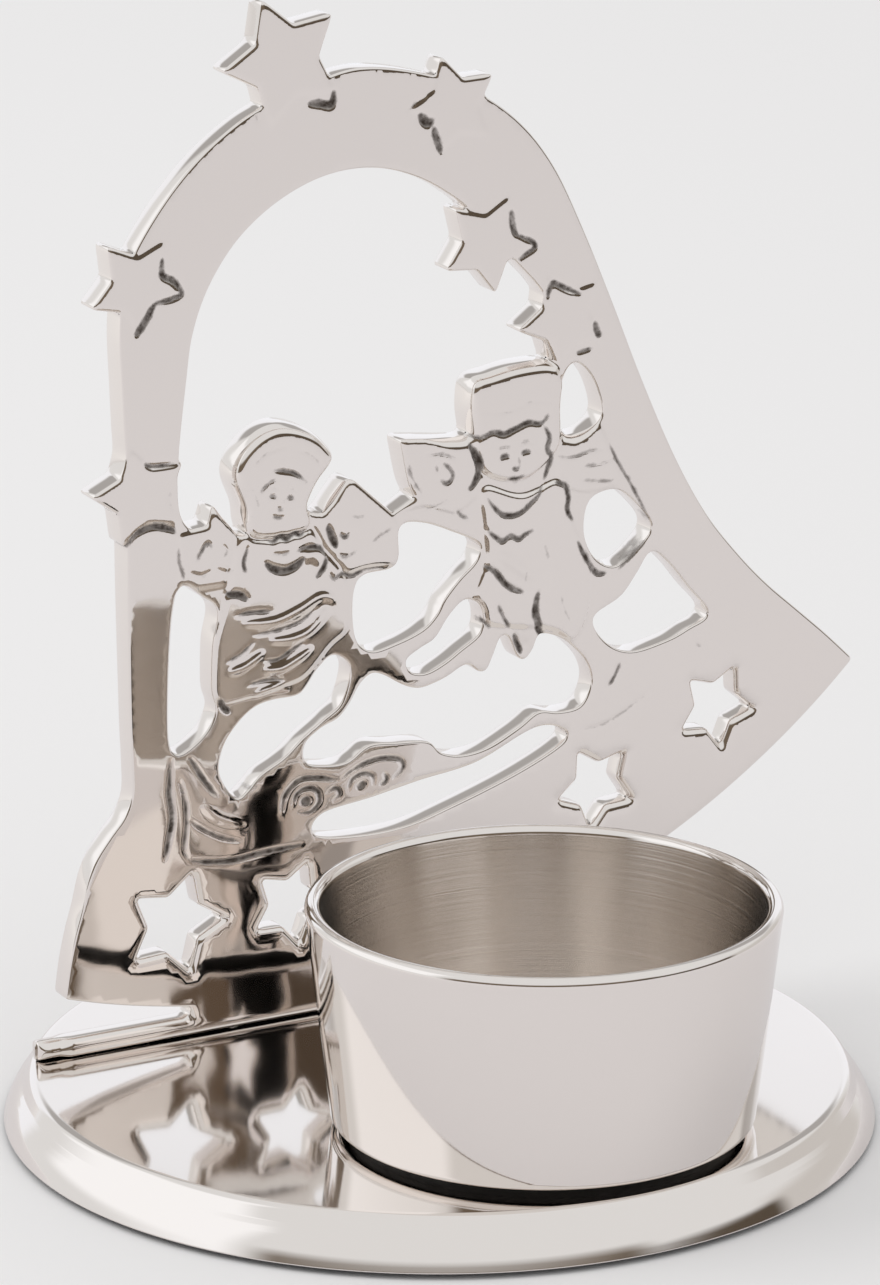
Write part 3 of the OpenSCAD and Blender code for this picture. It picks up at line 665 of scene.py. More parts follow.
def face_mask(raster, face):
    """1 in the middle of a face's oval, 0 on its edge and below 0 outside."""
    x, z, half, tilt = face
    turn = math.radians(tilt)
    dx = raster.x[:, None] - x
    dz = raster.z[None, :] - z
    u = (dx * math.cos(turn) + dz * math.sin(turn)) / half
    v = (dz * math.cos(turn) - dx * math.sin(turn)) / (half * FACE_TALL)
    return 1 - u * u - v * v


def ramp(value, start, width):
    """A soft step from 0 at a start to 1 past a width."""
    t = np.clip((value - start) / width, 0, 1)
    return t * t * (3 - 2 * t)


class Casting:
    """The cast bell panel: its outline and height map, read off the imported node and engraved."""

    def __init__(self, settings):
        self.edge = settings.edge_radius / MM
        self.back_edge = settings.back_radius / MM
        self.bar_edge = settings.bar_radius / MM
        self.end_edge = settings.bar_end_radius / MM
        self.hole_edge = settings.hole_radius / MM
        self.head_edge = settings.head_radius / MM
        self.bow = settings.bow / MM
        self.pitch = settings.raster_pitch / MM
        self.soften = settings.corner_blur / settings.raster_pitch
        self.slope = settings.layer_slope / MM
        self.fine = settings.fine_pitch / MM
        self.wave = settings.waviness / MM
        self.star_share = settings.star_share
        low, high = (np.array(c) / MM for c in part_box(CAST_NODE))
        self.scale = np.array([(high[0] - low[0]) / DRAWN_WIDTH, (high[2] - low[2]) / DRAWN_HEIGHT])
        self.foot_z = low[2]
        self.bar_back = high[1]
        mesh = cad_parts[CAST_NODE].data
        points = np.array([v.co for v in mesh.vertices]) / MM
        corners = points[np.array([p.vertices[:] for p in mesh.polygons])]
        fronts = self.flat_levels(corners, -1)
        backs = self.flat_levels(corners, 1)
        self.depths = sorted(depth for depth, area in fronts.items() if area > LEVEL_AREA)
        self.front_y = self.depths[-1]
        self.plate_back = max(backs, key=backs.get)
        self.raster = Raster((low[0] - BESIDE, low[2] - BELOW),
                             (high[0] + BESIDE, high[2] + BESIDE), self.pitch)
        self.low, self.high = low, high
        self.build_outline(corners)
        self.build_relief(corners)
        self.build_edges()

    def flat_levels(self, corners, facing):
        """Areas of the flat faces that face one way along Y, by their depth."""
        sides = corners[:, 1:] - corners[:, :1]
        cross = np.cross(sides[:, 0], sides[:, 1])
        area = np.linalg.norm(cross, axis=1) / 2
        flat = (facing * cross[:, 1] > 0.999 * 2 * area) & (area > 1e-9)
        depth = np.round(corners[flat, 0, 1], 2)
        return {d: area[flat][depth == d].sum() for d in np.unique(depth)}

    def place(self, x, z):
        """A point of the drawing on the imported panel."""
        return x * self.scale[0], self.foot_z + (z - DRAWN_LOW) * self.scale[1]

    def placed(self, strokes):
        """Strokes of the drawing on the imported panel."""
        return [(half, height, *(self.place(*p) for p in points))
                for half, height, *points in strokes]

    def build_outline(self, corners):
        """The outline of the panel with its web, joined to the foot bar by cast fillets."""
        x, z = self.raster.x[:, None], self.raster.z[None, :]
        loops = [spline(loop, OUTLINE_STEPS, closed=True)
                 for loop in flat_loops(corners, self.plate_back)]
        self.holes = [loop for loop in loops if len(loop) == STAR_CORNERS * OUTLINE_STEPS
                      and np.ptp(loop, axis=0).max() < STAR_SIZE]
        web = flat_loops(corners, self.bar_back)
        plate = signed_distance(self.raster, [loops, web])
        # The foot bar's top, read within a millimetre of its left end
        self.bar_top = corners[corners[:, :, 0] < self.low[0] + 1][:, 2].max()
        self.bar_end = -self.low[0]
        bar = np.minimum(self.bar_end - np.abs(x), self.bar_top - z)
        spare = np.clip(BAR_MELT - np.abs(plate - bar), 0, None)
        joined = np.maximum(plate, bar) + spare ** 2 / (4 * BAR_MELT)
        joined = np.minimum(joined, z - self.foot_z)
        self.distance = blurred(np.clip(joined, -REACH, REACH), self.soften)
        self.foot = np.maximum(signed_distance(self.raster, [web]), bar)

    def build_relief(self, corners):
        """The height over the panel's face, its strokes' depth and the waves of its polish."""
        raster = self.raster
        relief = np.zeros(raster.count)
        proud = np.full(raster.count, -float(REACH))
        self.figures = proud
        for rank, depth in enumerate(self.depths[:-1]):
            loops = [spline(loop, OUTLINE_STEPS, closed=True)
                     for loop in flat_loops(corners, depth)
                     if np.ptp(loop, axis=0).max() > LEVEL_EXTENT]
            proud = np.maximum(proud, signed_distance(raster, [loops]))
            step = self.depths[rank + 1] - depth
            if rank == len(self.depths) - 2:
                step *= self.star_share
            else:
                self.figures = proud
            relief += step * ramp(blurred(proud, self.soften), 0, self.slope)
        grooves = self.placed(STAR_STROKES + LEFT_FIGURE_STROKES + RIGHT_FIGURE_STROKES
                              + CLOUD_STROKES)
        ridges = self.placed(RIDGE_STROKES)
        self.faces = [(*self.place(x, z), half, tilt) for x, z, half, tilt in FACES]
        for face in self.faces:
            relief += FACE_DOME * face[2] * ramp(face_mask(raster, face), 0, 1)
            grooves += face_strokes(FACE_GROOVES, face)
            ridges += face_strokes(FACE_RIDGES, face)
        self.cut = draw_strokes(raster, grooves)
        relief += STROKE_SHARE * (draw_strokes(raster, ridges) - self.cut)
        self.relief = blurred(relief, RELIEF_BLUR)
        x, z = raster.x[:, None], raster.z[None, :]
        self.waves = np.zeros(raster.count)
        for height, across, up, bend, bend_across, bend_up in POLISH_WAVES:
            bent = bend * np.sin(bend_across * x + bend_up * z)
            self.waves += self.wave * height * np.sin(across * x + up * z + bent)

    def build_edges(self):
        """The edges' rounding: small on the panel, wide on the bar, heads and star holes."""
        x, z = self.raster.x[:, None], self.raster.z[None, :]
        on_bar = 1 - ramp(z - self.bar_top, *BAR_TOP_FADE)
        near_end = ramp(np.abs(x) - self.bar_end, *BAR_END_FADE)
        bar = self.bar_edge + (self.end_edge - self.bar_edge) * near_end
        radius = np.full(self.raster.count, self.edge)
        near_hole = ramp(signed_distance(self.raster, [self.holes]), *HOLE_FADE)
        radius += (self.hole_edge - radius) * near_hole
        for face_x, face_z, half, _ in self.faces:
            off = np.hypot(x - face_x, z - face_z - half)
            at_head = ramp(-off, -HEAD_FADE * half, half) * ramp(z - face_z, -half, 2)
            radius += (self.head_edge - radius) * at_head
        self.radius = radius + (bar - radius) * on_bar
        self.back_round = self.back_edge + (bar - self.back_edge) * on_bar

    def drop(self, points, radii):
        """How far the rounded edges fall back from the face at points."""
        radius = self.raster.sample(radii, points)
        inward = np.clip(self.raster.sample(self.distance, points), 0, radius)
        inward = np.where(inward < OUTLINE_SNAP, 0, inward)
        return radius - np.sqrt(radius ** 2 - (radius - inward) ** 2)

    def bowed(self, points):
        """How far the face bows forward at points: it rises at the figures and eases off above."""
        height = points[:, 1] - self.foot_z
        return self.bow * (ramp(height, *BOW_RISE) - ramp(height, *BOW_EASE))

    def grid_points(self):
        """Mesh points inside the face, close at strokes and slopes and wide on plain metal."""
        step = np.array([self.fine, self.fine * math.sqrt(3) / 2])
        low, high = self.raster.low, (self.raster.x[-1], self.raster.z[-1])
        i, j = np.meshgrid(np.arange(int((high[0] - low[0]) / step[0])),
                           np.arange(int((high[1] - low[1]) / step[1])), indexing="ij")
        points = np.stack([low[0] + (i + 0.5 * (j % 2)) * step[0], low[1] + j * step[1]], axis=-1)
        i, j, points = i.ravel(), j.ravel(), points.reshape(-1, 2)
        depth = self.raster.sample(self.distance - self.radius, points)
        busy = blurred(self.cut, FINE_DEPTH_BLUR)
        bends = np.abs(np.gradient(np.gradient(self.relief, axis=0), axis=0)) + np.abs(
            np.gradient(np.gradient(self.relief, axis=1), axis=1))
        need = self.raster.sample(blurred(bends, FINE_BEND_BLUR), points)
        at_stroke = (self.raster.sample(busy, points) > FINE_DEPTH) | (need > FINE_BEND)
        in_figure = self.raster.sample(self.figures, points) > -FIGURE_MARGIN
        # The coarser meshes are every second and every fourth point, staggered from row to row
        halved = (j % 2 == 0) & ((i + (j % 4 == 2)) % 2 == 0)
        quartered = (j % 4 == 0) & (i % 4 == (j % 8 == 4) * 2)
        keep = at_stroke | (in_figure & halved) | quartered
        return points[keep & (depth > FRONT_START)]

    def back_points(self):
        """Mesh points inside the plain back, close at the foot's step and wide elsewhere."""
        x, z = np.meshgrid(np.arange(self.low[0], self.high[0], BACK_PITCH),
                           np.arange(self.low[2], self.high[2], BACK_PITCH), indexing="ij")
        i, j = np.meshgrid(np.arange(x.shape[0]), np.arange(x.shape[1]), indexing="ij")
        points = np.stack([x.ravel(), z.ravel()], axis=1)
        depth = self.raster.sample(self.distance - self.back_round, points)
        at_step = np.abs(self.raster.sample(self.foot, points) - FOOT_FADE[1] / 2) < BACK_STEP
        wide = ((i % 4 == 0) & (j % 4 == 0)).ravel()
        return points[(wide | at_step) & (depth > BACK_START)]

    def rings(self, outline, insets, spacing, radii):
        """The outline and its insets, as points and edges, kept where the rounding reaches."""
        layers = [(0, outline)]
        layers += [(s, contours(self.raster, self.distance, s, spacing)) for s in insets]
        points, edges = [], []
        total = 0
        for inset, loops in layers:
            for loop in loops:
                kept = self.raster.sample(radii, loop) >= RING_KEPT * inset
                ids = total + np.cumsum(kept) - 1
                both = kept & np.roll(kept, -1)
                edges += zip(ids[both].tolist(), np.roll(ids, -1)[both].tolist())
                points.append(loop[kept])
                total += int(kept.sum())
        return np.vstack(points), edges

    def triangulate(self, rings, loose):
        """Triangles between rings and loose points that lie inside the outline."""
        points, edges = rings
        flat = np.vstack([points, loose])
        made = delaunay_2d_cdt([Vector(p) for p in flat], edges, [], 0, 1e-7)
        places = np.array([v[:] for v in made[0]])
        triangles = np.array(made[2])
        a, b, c = (places[triangles[:, k]] for k in range(3))
        turned = (b[:, 0] - a[:, 0]) * (c[:, 1] - a[:, 1]) - (b[:, 1] - a[:, 1]) * (c[:, 0] - a[:, 0])
        triangles[turned < 0] = triangles[turned < 0][:, ::-1]
        middle = (a + b + c) / 3
        inside = self.raster.sample(self.distance, middle) > 0
        origin = {}
        for new, olds in enumerate(made[3]):
            for old in olds:
                origin[old] = new
        return places, triangles[inside & (np.abs(turned) > 1e-10)], origin

    def mesh(self):
        """Vertices, faces and the oxide and painted shade of each vertex, in metres."""
        outline = contours(self.raster, self.distance, 0, RING_SPACING)
        front_rings = self.rings(outline, FRONT_INSETS, RING_SPACING, self.radius)
        front, front_faces, front_ids = self.triangulate(front_rings, self.grid_points())
        back_rings = self.rings(outline, BACK_INSETS, BACK_RING_SPACING, self.back_round)
        back, back_faces, back_ids = self.triangulate(back_rings, self.back_points())
        relief = self.raster.sample(self.relief, front)
        front_y = (self.front_y + self.drop(front, self.radius) - relief
                   + self.raster.sample(self.waves, front) - self.bowed(front))
        foot = ramp(self.raster.sample(self.foot, back), *FOOT_FADE)
        back_y = (self.plate_back + (self.bar_back - self.plate_back) * foot
                  - self.drop(back, self.back_round))
        walls = []
        shift = len(front)
        start = 0
        for loop in outline:
            count = len(loop)
            for k in range(count):
                p, q = start + k, start + (k + 1) % count
                walls.append((front_ids[p], back_ids[p] + shift, back_ids[q] + shift, front_ids[q]))
            start += count
        vertices = np.vstack([np.stack([front[:, 0], front_y, front[:, 1]], axis=1),
                              np.stack([back[:, 0], back_y, back[:, 1]], axis=1)]) * MM
        faces = [tuple(f) for f in front_faces]
        faces += [tuple(f[::-1] + shift) for f in back_faces]
        faces += walls
        oxide_and_shade = np.concatenate([self.raster.sample(self.oxide_and_shade(), front), np.zeros(len(back))])
        return vertices, faces, oxide_and_shade

    def oxide_and_shade(self):
        """Dark oxide and painted shade in the strokes, 0 on the polished metal and 1 in the deepest.
        """
        return np.clip(blurred(self.cut, OXIDE_AND_SHADE_BLUR) / OXIDE_AND_SHADE_DEPTH - OXIDE_AND_SHADE_CLEAN, 0, 1)


def mesh_object(name, vertices, faces):
    """A smooth mesh object at the origin, linked to the scene."""
    mesh = bpy.data.meshes.new(name)
    mesh.from_pydata([tuple(v) for v in vertices], [], [tuple(map(int, f)) for f in faces])
    mesh.update()
    mesh.shade_smooth()
    piece = bpy.data.objects.new(name, mesh)
    bpy.context.scene.collection.objects.link(piece)
    return piece


def turned_tree():
    """A node tree that turns a section, drawn as a line, into a round piece about the origin."""
    tree = bpy.data.node_groups.new("turning", "GeometryNodeTree")
    sockets = [("Section", "INPUT", "NodeSocketGeometry"), ("Segments", "INPUT", "NodeSocketInt"),
               ("Hub", "INPUT", "NodeSocketFloat"), ("Metal", "INPUT", "NodeSocketMaterial"),
               ("Piece", "OUTPUT", "NodeSocketGeometry")]
    for name, way, kind in sockets:
        tree.interface.new_socket(name=name, in_out=way, socket_type=kind)
    given = add_node(tree, "NodeGroupInput").outputs
    section = add_node(tree, "GeometryNodeMeshToCurve", {"Mesh": given["Section"]})
    path = add_node(tree, "GeometryNodeCurvePrimitiveCircle",
                    {"Resolution": given["Segments"], "Radius": given["Hub"]})
    swept = add_node(tree, "GeometryNodeCurveToMesh",
                     {"Curve": path.outputs["Curve"], "Profile Curve": section.outputs["Curve"]})
    welded = add_node(tree, "GeometryNodeMergeByDistance",
                      {"Geometry": swept.outputs["Mesh"], "Distance": WELD})
    smooth = add_node(tree, "GeometryNodeSetShadeSmooth", {"Geometry": welded.outputs[0]})
    real = add_node(tree, "GeometryNodeRealizeInstances", {"Geometry": smooth.outputs[0]})
    dressed = add_node(tree, "GeometryNodeSetMaterial",
                       {"Geometry": real.outputs[0], "Material": given["Metal"]})
    add_node(tree, "NodeGroupOutput", {"Piece": dressed.outputs[0]})
    return tree


def run_tree(name, tree, start_mesh, inputs):
    """Runs a node tree on a mesh and returns a plain mesh object at the origin."""
    carrier = bpy.data.objects.new(name + "_section", start_mesh)
    bpy.context.scene.collection.objects.link(carrier)
    modifier = carrier.modifiers.new("tree", "NODES")
    modifier.node_group = tree
    for socket in tree.interface.items_tree:
        if socket.name in inputs:
            modifier[socket.identifier] = inputs[socket.name]
    bpy.context.view_layer.update()
    evaluated = carrier.evaluated_get(bpy.context.evaluated_depsgraph_get())
    mesh = bpy.data.meshes.new_from_object(evaluated)
    carrier.modifiers.clear()
    bpy.data.objects.remove(carrier)
    mesh.name = name
    piece = bpy.data.objects.new(name, mesh)
    bpy.context.scene.collection.objects.link(piece)
    return piece


def arc(centre, radius, first, last, steps=8):
    """Points (r, z) of an arc about a centre (r, z), from one angle to another in degrees."""
    angles = [math.radians(first + (last - first) * s / steps) for s in range(steps + 1)]
    return [(centre[0] + radius * math.cos(a), centre[1] + radius * math.sin(a)) for a in angles]


def held(section, closed, margin=0.08 * MM):
    """A section with extra points close to the ends of its long straights, to keep them flat."""
    points = [np.array(p) for p in section]
    ends = points[1:] + points[:1] if closed else points[1:]
    made = []
    for a, b in zip(points, ends):
        made.append(a)
        reach = np.linalg.norm(b - a)
        if reach > 8 * margin:
            made += [a + (b - a) * margin / reach, b - (b - a) * margin / reach]
    return made if closed else [*made, points[-1]]


def turn_piece(name, section, closed, settings, material, axis=(0, 0)):
    """Turns a section (r, z) in metres about an upright axis and gives it its metal."""
    hub = settings.hub
    section = held(section, closed)
    line = bpy.data.meshes.new(name + "_section")
    edges = [(k, k + 1) for k in range(len(section) - 1)]
    if closed:
        edges.append((len(section) - 1, 0))
    line.from_pydata([(r - hub, -z, 0) for r, z in section], edges, [])
    piece = run_tree(name, turned_tree(), line,
                     {"Segments": settings.segments, "Hub": hub, "Metal": material})
    piece.data.transform(Matrix.Translation((*axis, 0)))
    solid = bmesh.new()
    solid.from_mesh(piece.data)
    bmesh.ops.recalc_face_normals(solid, faces=solid.faces)
    if solid.calc_volume(signed=True) < 0:
        bmesh.ops.reverse_faces(solid, faces=solid.faces)
    solid.to_mesh(piece.data)
    solid.free()
    return piece


def base_section(settings):
    """The base's half section: its recess, its rim as one low arc, and its flat top."""
    low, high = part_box(BASE_NODE)
    recess_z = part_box(PAD_NODE)[1].z
    edge, shoulder, top = settings.base_edge, settings.base_shoulder, settings.base_top
    rise, run = high.z - low.z - edge - shoulder, high.x - top
    slope = math.degrees(math.atan2(rise, run))
    rim = []
    for step in range(1, RIM_STEPS):
        t = step / RIM_STEPS
        rim.append((high.x - run * t + settings.base_crown * math.sin(math.pi * t),
                    low.z + edge + rise * t))
    return [(0, recess_z), (settings.recess, recess_z), (settings.recess, low.z),
            *arc((high.x - edge, low.z + edge), edge, -90, slope / 2), *rim,
            *arc((top - shoulder, high.z - shoulder), shoulder, 90 - slope, 90), (0, high.z)]


def cup_section(settings):
    """The cup's half section: foot, tapered wall, round rim, fillet, ring and screw seat."""
    low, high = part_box(CUP_NODE)
    floor_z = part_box(CUP_SCREW_NODE)[1].z
    rim_r = (high.x - low.x) / 2
    wall, edge, fillet = settings.cup_wall, settings.cup_edge, settings.cup_fillet
    lean = (rim_r - settings.cup_foot) / (high.z - low.z)
    floor_r = settings.cup_foot - wall + (floor_z - low.z) * lean
    ring, half = settings.ring, settings.ring_width / 2
    hole, seat = settings.screw_hole, settings.screw_seat
    return [(hole, low.z), *arc((settings.cup_foot - edge, low.z + edge), edge, -90, 0),
            *arc((rim_r - wall / 2, high.z - wall / 2), wall / 2, 0, 180, 12),
            *arc((floor_r - fillet, floor_z + fillet), fillet, 0, -90),
            (ring + half, floor_z), (ring, floor_z - settings.ring_depth), (ring - half, floor_z),
            (seat, floor_z), (hole, floor_z - seat + hole)]


def cast_metal(sizes):
    """Nickel-plated cast brass, hand polished."""
    # Polish leaves a soft, slightly wavy mirror, and the plating is warm and a little dull. The
    # strokes are dark and matt, broken up by the grain: oxide in the engraved hollows, and painted
    # shade where strokes trace shaded steps and walls.
    material, tree = new_material("nickel_plated_casting")
    place = add_node(tree, "ShaderNodeTexCoord").outputs["Object"]
    oxide_and_shade = add_node(tree, "ShaderNodeAttribute", attribute_name="oxide_and_shade").outputs["Fac"]
    grain = add_node(tree, "ShaderNodeTexNoise",
                     {"Vector": place, "Scale": 0.9 / MM, "Detail": 4, "Roughness": 0.6})
    cloud = add_node(tree, "ShaderNodeTexNoise",
                     {"Vector": place, "Scale": 0.06 / MM, "Detail": 3})
    worn = add_node(tree, "ShaderNodeMath", {0: grain, 1: 1.5, 2: -0.55},
                    operation="MULTIPLY_ADD", use_clamp=True)
    dark = add_node(tree, "ShaderNodeMath", {0: oxide_and_shade, 1: worn}, operation="SUBTRACT",
                    use_clamp=True)
    # The metal turns to the dark colour by the strokes' oxide and painted shade
    colour = add_node(tree, "ShaderNodeMix",
                      {"A": hex_colour(sizes.metal_hex), "B": hex_colour(sizes.oxide_and_shade_hex),
                       "Factor": dark}, data_type="RGBA").outputs[2]
    rough = add_node(tree, "ShaderNodeMapRange", {"Value": dark, "To Min": 0.03, "To Max": 0.6})
    speck = add_node(tree, "ShaderNodeMath", {0: grain, 1: 0.04, 2: rough},
                     operation="MULTIPLY_ADD")
    bump = add_node(tree, "ShaderNodeBump",
                    {"Height": cloud, "Strength": 0.03, "Distance": 0.2 * MM})
    shader = add_node(tree, "ShaderNodeBsdfPrincipled",
                      {"Metallic": 1, "Base Color": colour, "Roughness": speck, "Normal": bump})
    add_node(tree, "ShaderNodeOutputMaterial", {"Surface": shader})
    return material


def polished_plate(settings):
    """Nickel plate over turned brass, buffed to a mirror."""
    # Buffing leaves a clear mirror whose highlights only just spread, with faint clouds.
    material, tree = new_material("buffed_nickel_plate")
    place = add_node(tree, "ShaderNodeTexCoord").outputs["Object"]
    cloud = add_node(tree, "ShaderNodeTexNoise",
                     {"Vector": place, "Scale": 0.045 / MM, "Detail": 5, "Roughness": 0.6})
    rough = add_node(tree, "ShaderNodeMapRange", {"Value": cloud, "To Min": 0.04, "To Max": 0.1})
    shader = add_node(tree, "ShaderNodeBsdfPrincipled",
                      {"Metallic": 1, "Base Color": hex_colour(settings.metal_hex),
                       "Roughness": rough})
    add_node(tree, "ShaderNodeOutputMaterial", {"Surface": shader})
    return material


def turned_plate(settings, axis):
    """Nickel plate over the lathe's own finish, as inside the cup."""
    # A lathe tool leaves fine rings at a regular pitch, which smear a reflection up and down. Real
    # ones are too fine to show, so they are drawn at the line pitch.
    material, tree = new_material("turned_nickel_plate")
    place = add_node(tree, "ShaderNodeTexCoord").outputs["Object"]
    centred = add_node(tree, "ShaderNodeMapping",
                       {"Vector": place, "Location": (-axis[0], -axis[1], 0)})
    parts = add_node(tree, "ShaderNodeSeparateXYZ", {"Vector": centred}).outputs
    level = add_node(tree, "ShaderNodeCombineXYZ", {"X": parts["X"], "Y": parts["Y"]})
    radius = add_node(tree, "ShaderNodeVectorMath", {0: level}, operation="LENGTH")
    along = add_node(tree, "ShaderNodeMath", {0: radius.outputs["Value"], 1: parts["Z"]},
                     operation="ADD")
    turns = add_node(tree, "ShaderNodeMath", {0: along, 1: settings.line_pitch},
                     operation="DIVIDE")
    lines = add_node(tree, "ShaderNodeTexNoise",
                     {"W": turns, "Scale": 1, "Detail": 3, "Roughness": 0.65},
                     noise_dimensions="1D")
    patch = add_node(tree, "ShaderNodeTexNoise",
                     {"Vector": place, "Scale": 0.07 / MM, "Detail": 2})
    cut = add_node(tree, "ShaderNodeMath", {0: lines, 1: patch}, operation="MULTIPLY")
    bump = add_node(tree, "ShaderNodeBump",
                    {"Height": cut, "Strength": 0.6, "Distance": 0.08 * MM})
    tangent = add_node(tree, "ShaderNodeTangent", direction_type="RADIAL", axis="Z")
    rough = add_node(tree, "ShaderNodeMapRange", {"Value": lines, "To Min": 0.09, "To Max": 0.26})
    # The inside's darker colour is painted shade; its lathe finish is in the roughness and bump
    shader = add_node(tree, "ShaderNodeBsdfPrincipled",
                      {"Metallic": 1, "Base Color": hex_colour(settings.inside_shade_hex),
                       "Anisotropic": 0.8, "Anisotropic Rotation": 0.25, "Roughness": rough,
                       "Normal": bump, "Tangent": tangent})
    add_node(tree, "ShaderNodeOutputMaterial", {"Surface": shader})
    return material


def wool_felt():
    """Pressed wool felt, dyed dark."""
    # Pressed fibres scatter light, with a soft fuzz at grazing angles and small tufts. Real fibres
    # are too fine to show, so they are drawn 0.4 mm across.
    material, tree = new_material("pressed_wool_felt")
    place = add_node(tree, "ShaderNodeTexCoord").outputs["Object"]
    fibres = add_node(tree, "ShaderNodeTexNoise",
                      {"Vector": place, "Scale": 2.5 / MM, "Detail": 4, "Roughness": 0.7})
    tufts = add_node(tree, "ShaderNodeTexNoise",
                     {"Vector": place, "Scale": 0.26 / MM, "Detail": 2})
    colour = add_node(tree, "ShaderNodeMix",
                      {"A": hex_colour("2A2725"), "B": hex_colour("47423E"), "Factor": tufts},
                      data_type="RGBA").outputs[2]
    bump = add_node(tree, "ShaderNodeBump",
                    {"Height": fibres, "Strength": 0.8, "Distance": 0.2 * MM})
    shader = add_node(tree, "ShaderNodeBsdfPrincipled",
                      {"Roughness": 1, "Sheen Weight": 0.3, "Sheen Roughness": 0.5,
                       "Base Color": colour, "Normal": bump})
    add_node(tree, "ShaderNodeOutputMaterial", {"Surface": shader})
    return material


def painted_shade_under_base():
    """Black under the base, which darkens the shadowed gap under its rim: painted shade."""
    # It is half matt, with faint streaks in its roughness.
    material, tree = new_material("painted_shade_under_base_black")
    place = add_node(tree, "ShaderNodeTexCoord").outputs["Object"]
    streaks = add_node(tree, "ShaderNodeTexNoise",
                       {"Vector": place, "Scale": 0.3 / MM, "Detail": 3})
    rough = add_node(tree, "ShaderNodeMapRange", {"Value": streaks, "To Min": 0.55, "To Max": 0.8})
    shader = add_node(tree, "ShaderNodeBsdfPrincipled",
                      {"Base Color": hex_colour("1E1C1B"), "Roughness": rough})
    add_node(tree, "ShaderNodeOutputMaterial", {"Surface": shader})
    return material


def black_rubber():
    """Moulded black rubber sheet, cut to a disc."""
    # Carbon-filled rubber is nearly black with a dull, slightly uneven sheen.
    material, tree = new_material("moulded_black_rubber")
    place = add_node(tree, "ShaderNodeTexCoord").outputs["Object"]
    grain = add_node(tree, "ShaderNodeTexNoise",
                     {"Vector": place, "Scale": 0.9 / MM, "Detail": 3})
    rough = add_node(tree, "ShaderNodeMapRange", {"Value": grain, "To Min": 0.45, "To Max": 0.65})
    bump = add_node(tree, "ShaderNodeBump",
                    {"Height": grain, "Strength": 0.3, "Distance": 0.1 * MM})
    shader = add_node(tree, "ShaderNodeBsdfPrincipled",
                      {"Base Color": hex_colour("141312"), "Roughness": rough, "Normal": bump})
    add_node(tree, "ShaderNodeOutputMaterial", {"Surface": shader})
    return material


def screw_steel():
    """Zinc-plated steel, cold headed and barrel plated."""
    # Barrel plating is bright but not a mirror, with small dull spots where pieces rubbed.
    material, tree = new_material("zinc_plated_steel")
    place = add_node(tree, "ShaderNodeTexCoord").outputs["Object"]
    spots = add_node(tree, "ShaderNodeTexNoise",
                     {"Vector": place, "Scale": 1.2 / MM, "Detail": 3, "Roughness": 0.6})
    rough = add_node(tree, "ShaderNodeMapRange", {"Value": spots, "To Min": 0.2, "To Max": 0.42})
    colour = add_node(tree, "ShaderNodeMix",
                      {"A": hex_colour("C9C8C6"), "B": hex_colour("AFAEAB"), "Factor": spots},
                      data_type="RGBA").outputs[2]
    shader = add_node(tree, "ShaderNodeBsdfPrincipled",
                      {"Metallic": 1, "Base Color": colour, "Roughness": rough})
    add_node(tree, "ShaderNodeOutputMaterial", {"Surface": shader})
    return material


class HOLDER_OT_bell_panel(bpy.types.Operator):
    """Makes the cast bell panel with its edges, relief and engraving"""

    bl_idname = "holder.bell_panel"
    bl_label = "Cast bell panel"

    def execute(self, context):
        sizes = context.scene.holder_casting
        casting = Casting(sizes)
        vertices, faces, oxide_and_shade = casting.mesh()
        piece = mesh_object("cast_bell_panel", vertices, faces)
        layer = piece.data.attributes.new("oxide_and_shade", "FLOAT", "POINT")
        layer.data.foreach_set("value", oxide_and_shade.astype(np.float32))
        piece.data.materials.append(cast_metal(sizes))
        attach(piece, "root")
        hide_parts(CAST_NODE)
        return {"FINISHED"}


class HOLDER_OT_base_plate(bpy.types.Operator):
    """Turns the round base with its sloping rim"""

    bl_idname = "holder.base_plate"
    bl_label = "Turned base"

    def execute(self, context):
        settings = context.scene.holder_turning
        piece = turn_piece("turned_base", base_section(settings), False, settings,
                           polished_plate(settings))
        # The faces under the base get the black of painted shade
        piece.data.materials.append(painted_shade_under_base())
        for face in piece.data.polygons:
            face.material_index = int(face.normal.z < UNDER_NORMAL)
        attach(piece, "root")
        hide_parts(BASE_NODE)
        return {"FINISHED"}


class HOLDER_OT_cup(bpy.types.Operator):
    """Turns the tea light cup, mirror bright outside and lathe finished inside"""

    bl_idname = "holder.cup"
    bl_label = "Turned cup"

    def execute(self, context):
        settings = context.scene.holder_turning
        low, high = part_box(CUP_NODE)
        axis = Vector(((low.x + high.x) / 2, (low.y + high.y) / 2))
        piece = turn_piece("turned_cup", cup_section(settings), True, settings,
                           polished_plate(settings), axis)
        piece.data.materials.append(turned_plate(settings, axis))
        floor_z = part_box(CUP_SCREW_NODE)[1].z
        for face in piece.data.polygons:
            inward = face.normal.xy.dot(axis - face.center.xy) > 0
            in_wall = inward and floor_z < face.center.z < high.z - settings.cup_wall
            upward = face.normal.z > FLOOR_NORMAL
            in_floor = upward and face.center.z < floor_z + settings.cup_fillet
            face.material_index = int(in_wall or in_floor)
        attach(piece, "root")
        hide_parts(CUP_NODE)
        return {"FINISHED"}


class HOLDER_OT_fittings(bpy.types.Operator):
    """Finishes the pad, the spacer, the screws and the washers"""

    bl_idname = "holder.fittings"
    bl_label = "Fittings"

    def execute(self, context):
        steel = screw_steel()
        finishes = {PAD_NODE: wool_felt(), "cup_spacer": black_rubber(), CUP_SCREW_NODE: steel,
                    "panel_screws": steel, "panel_washers": steel}
        for node, material in finishes.items():
            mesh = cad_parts[node].data
            mesh.materials.clear()
            mesh.materials.append(material)
        return {"FINISHED"}


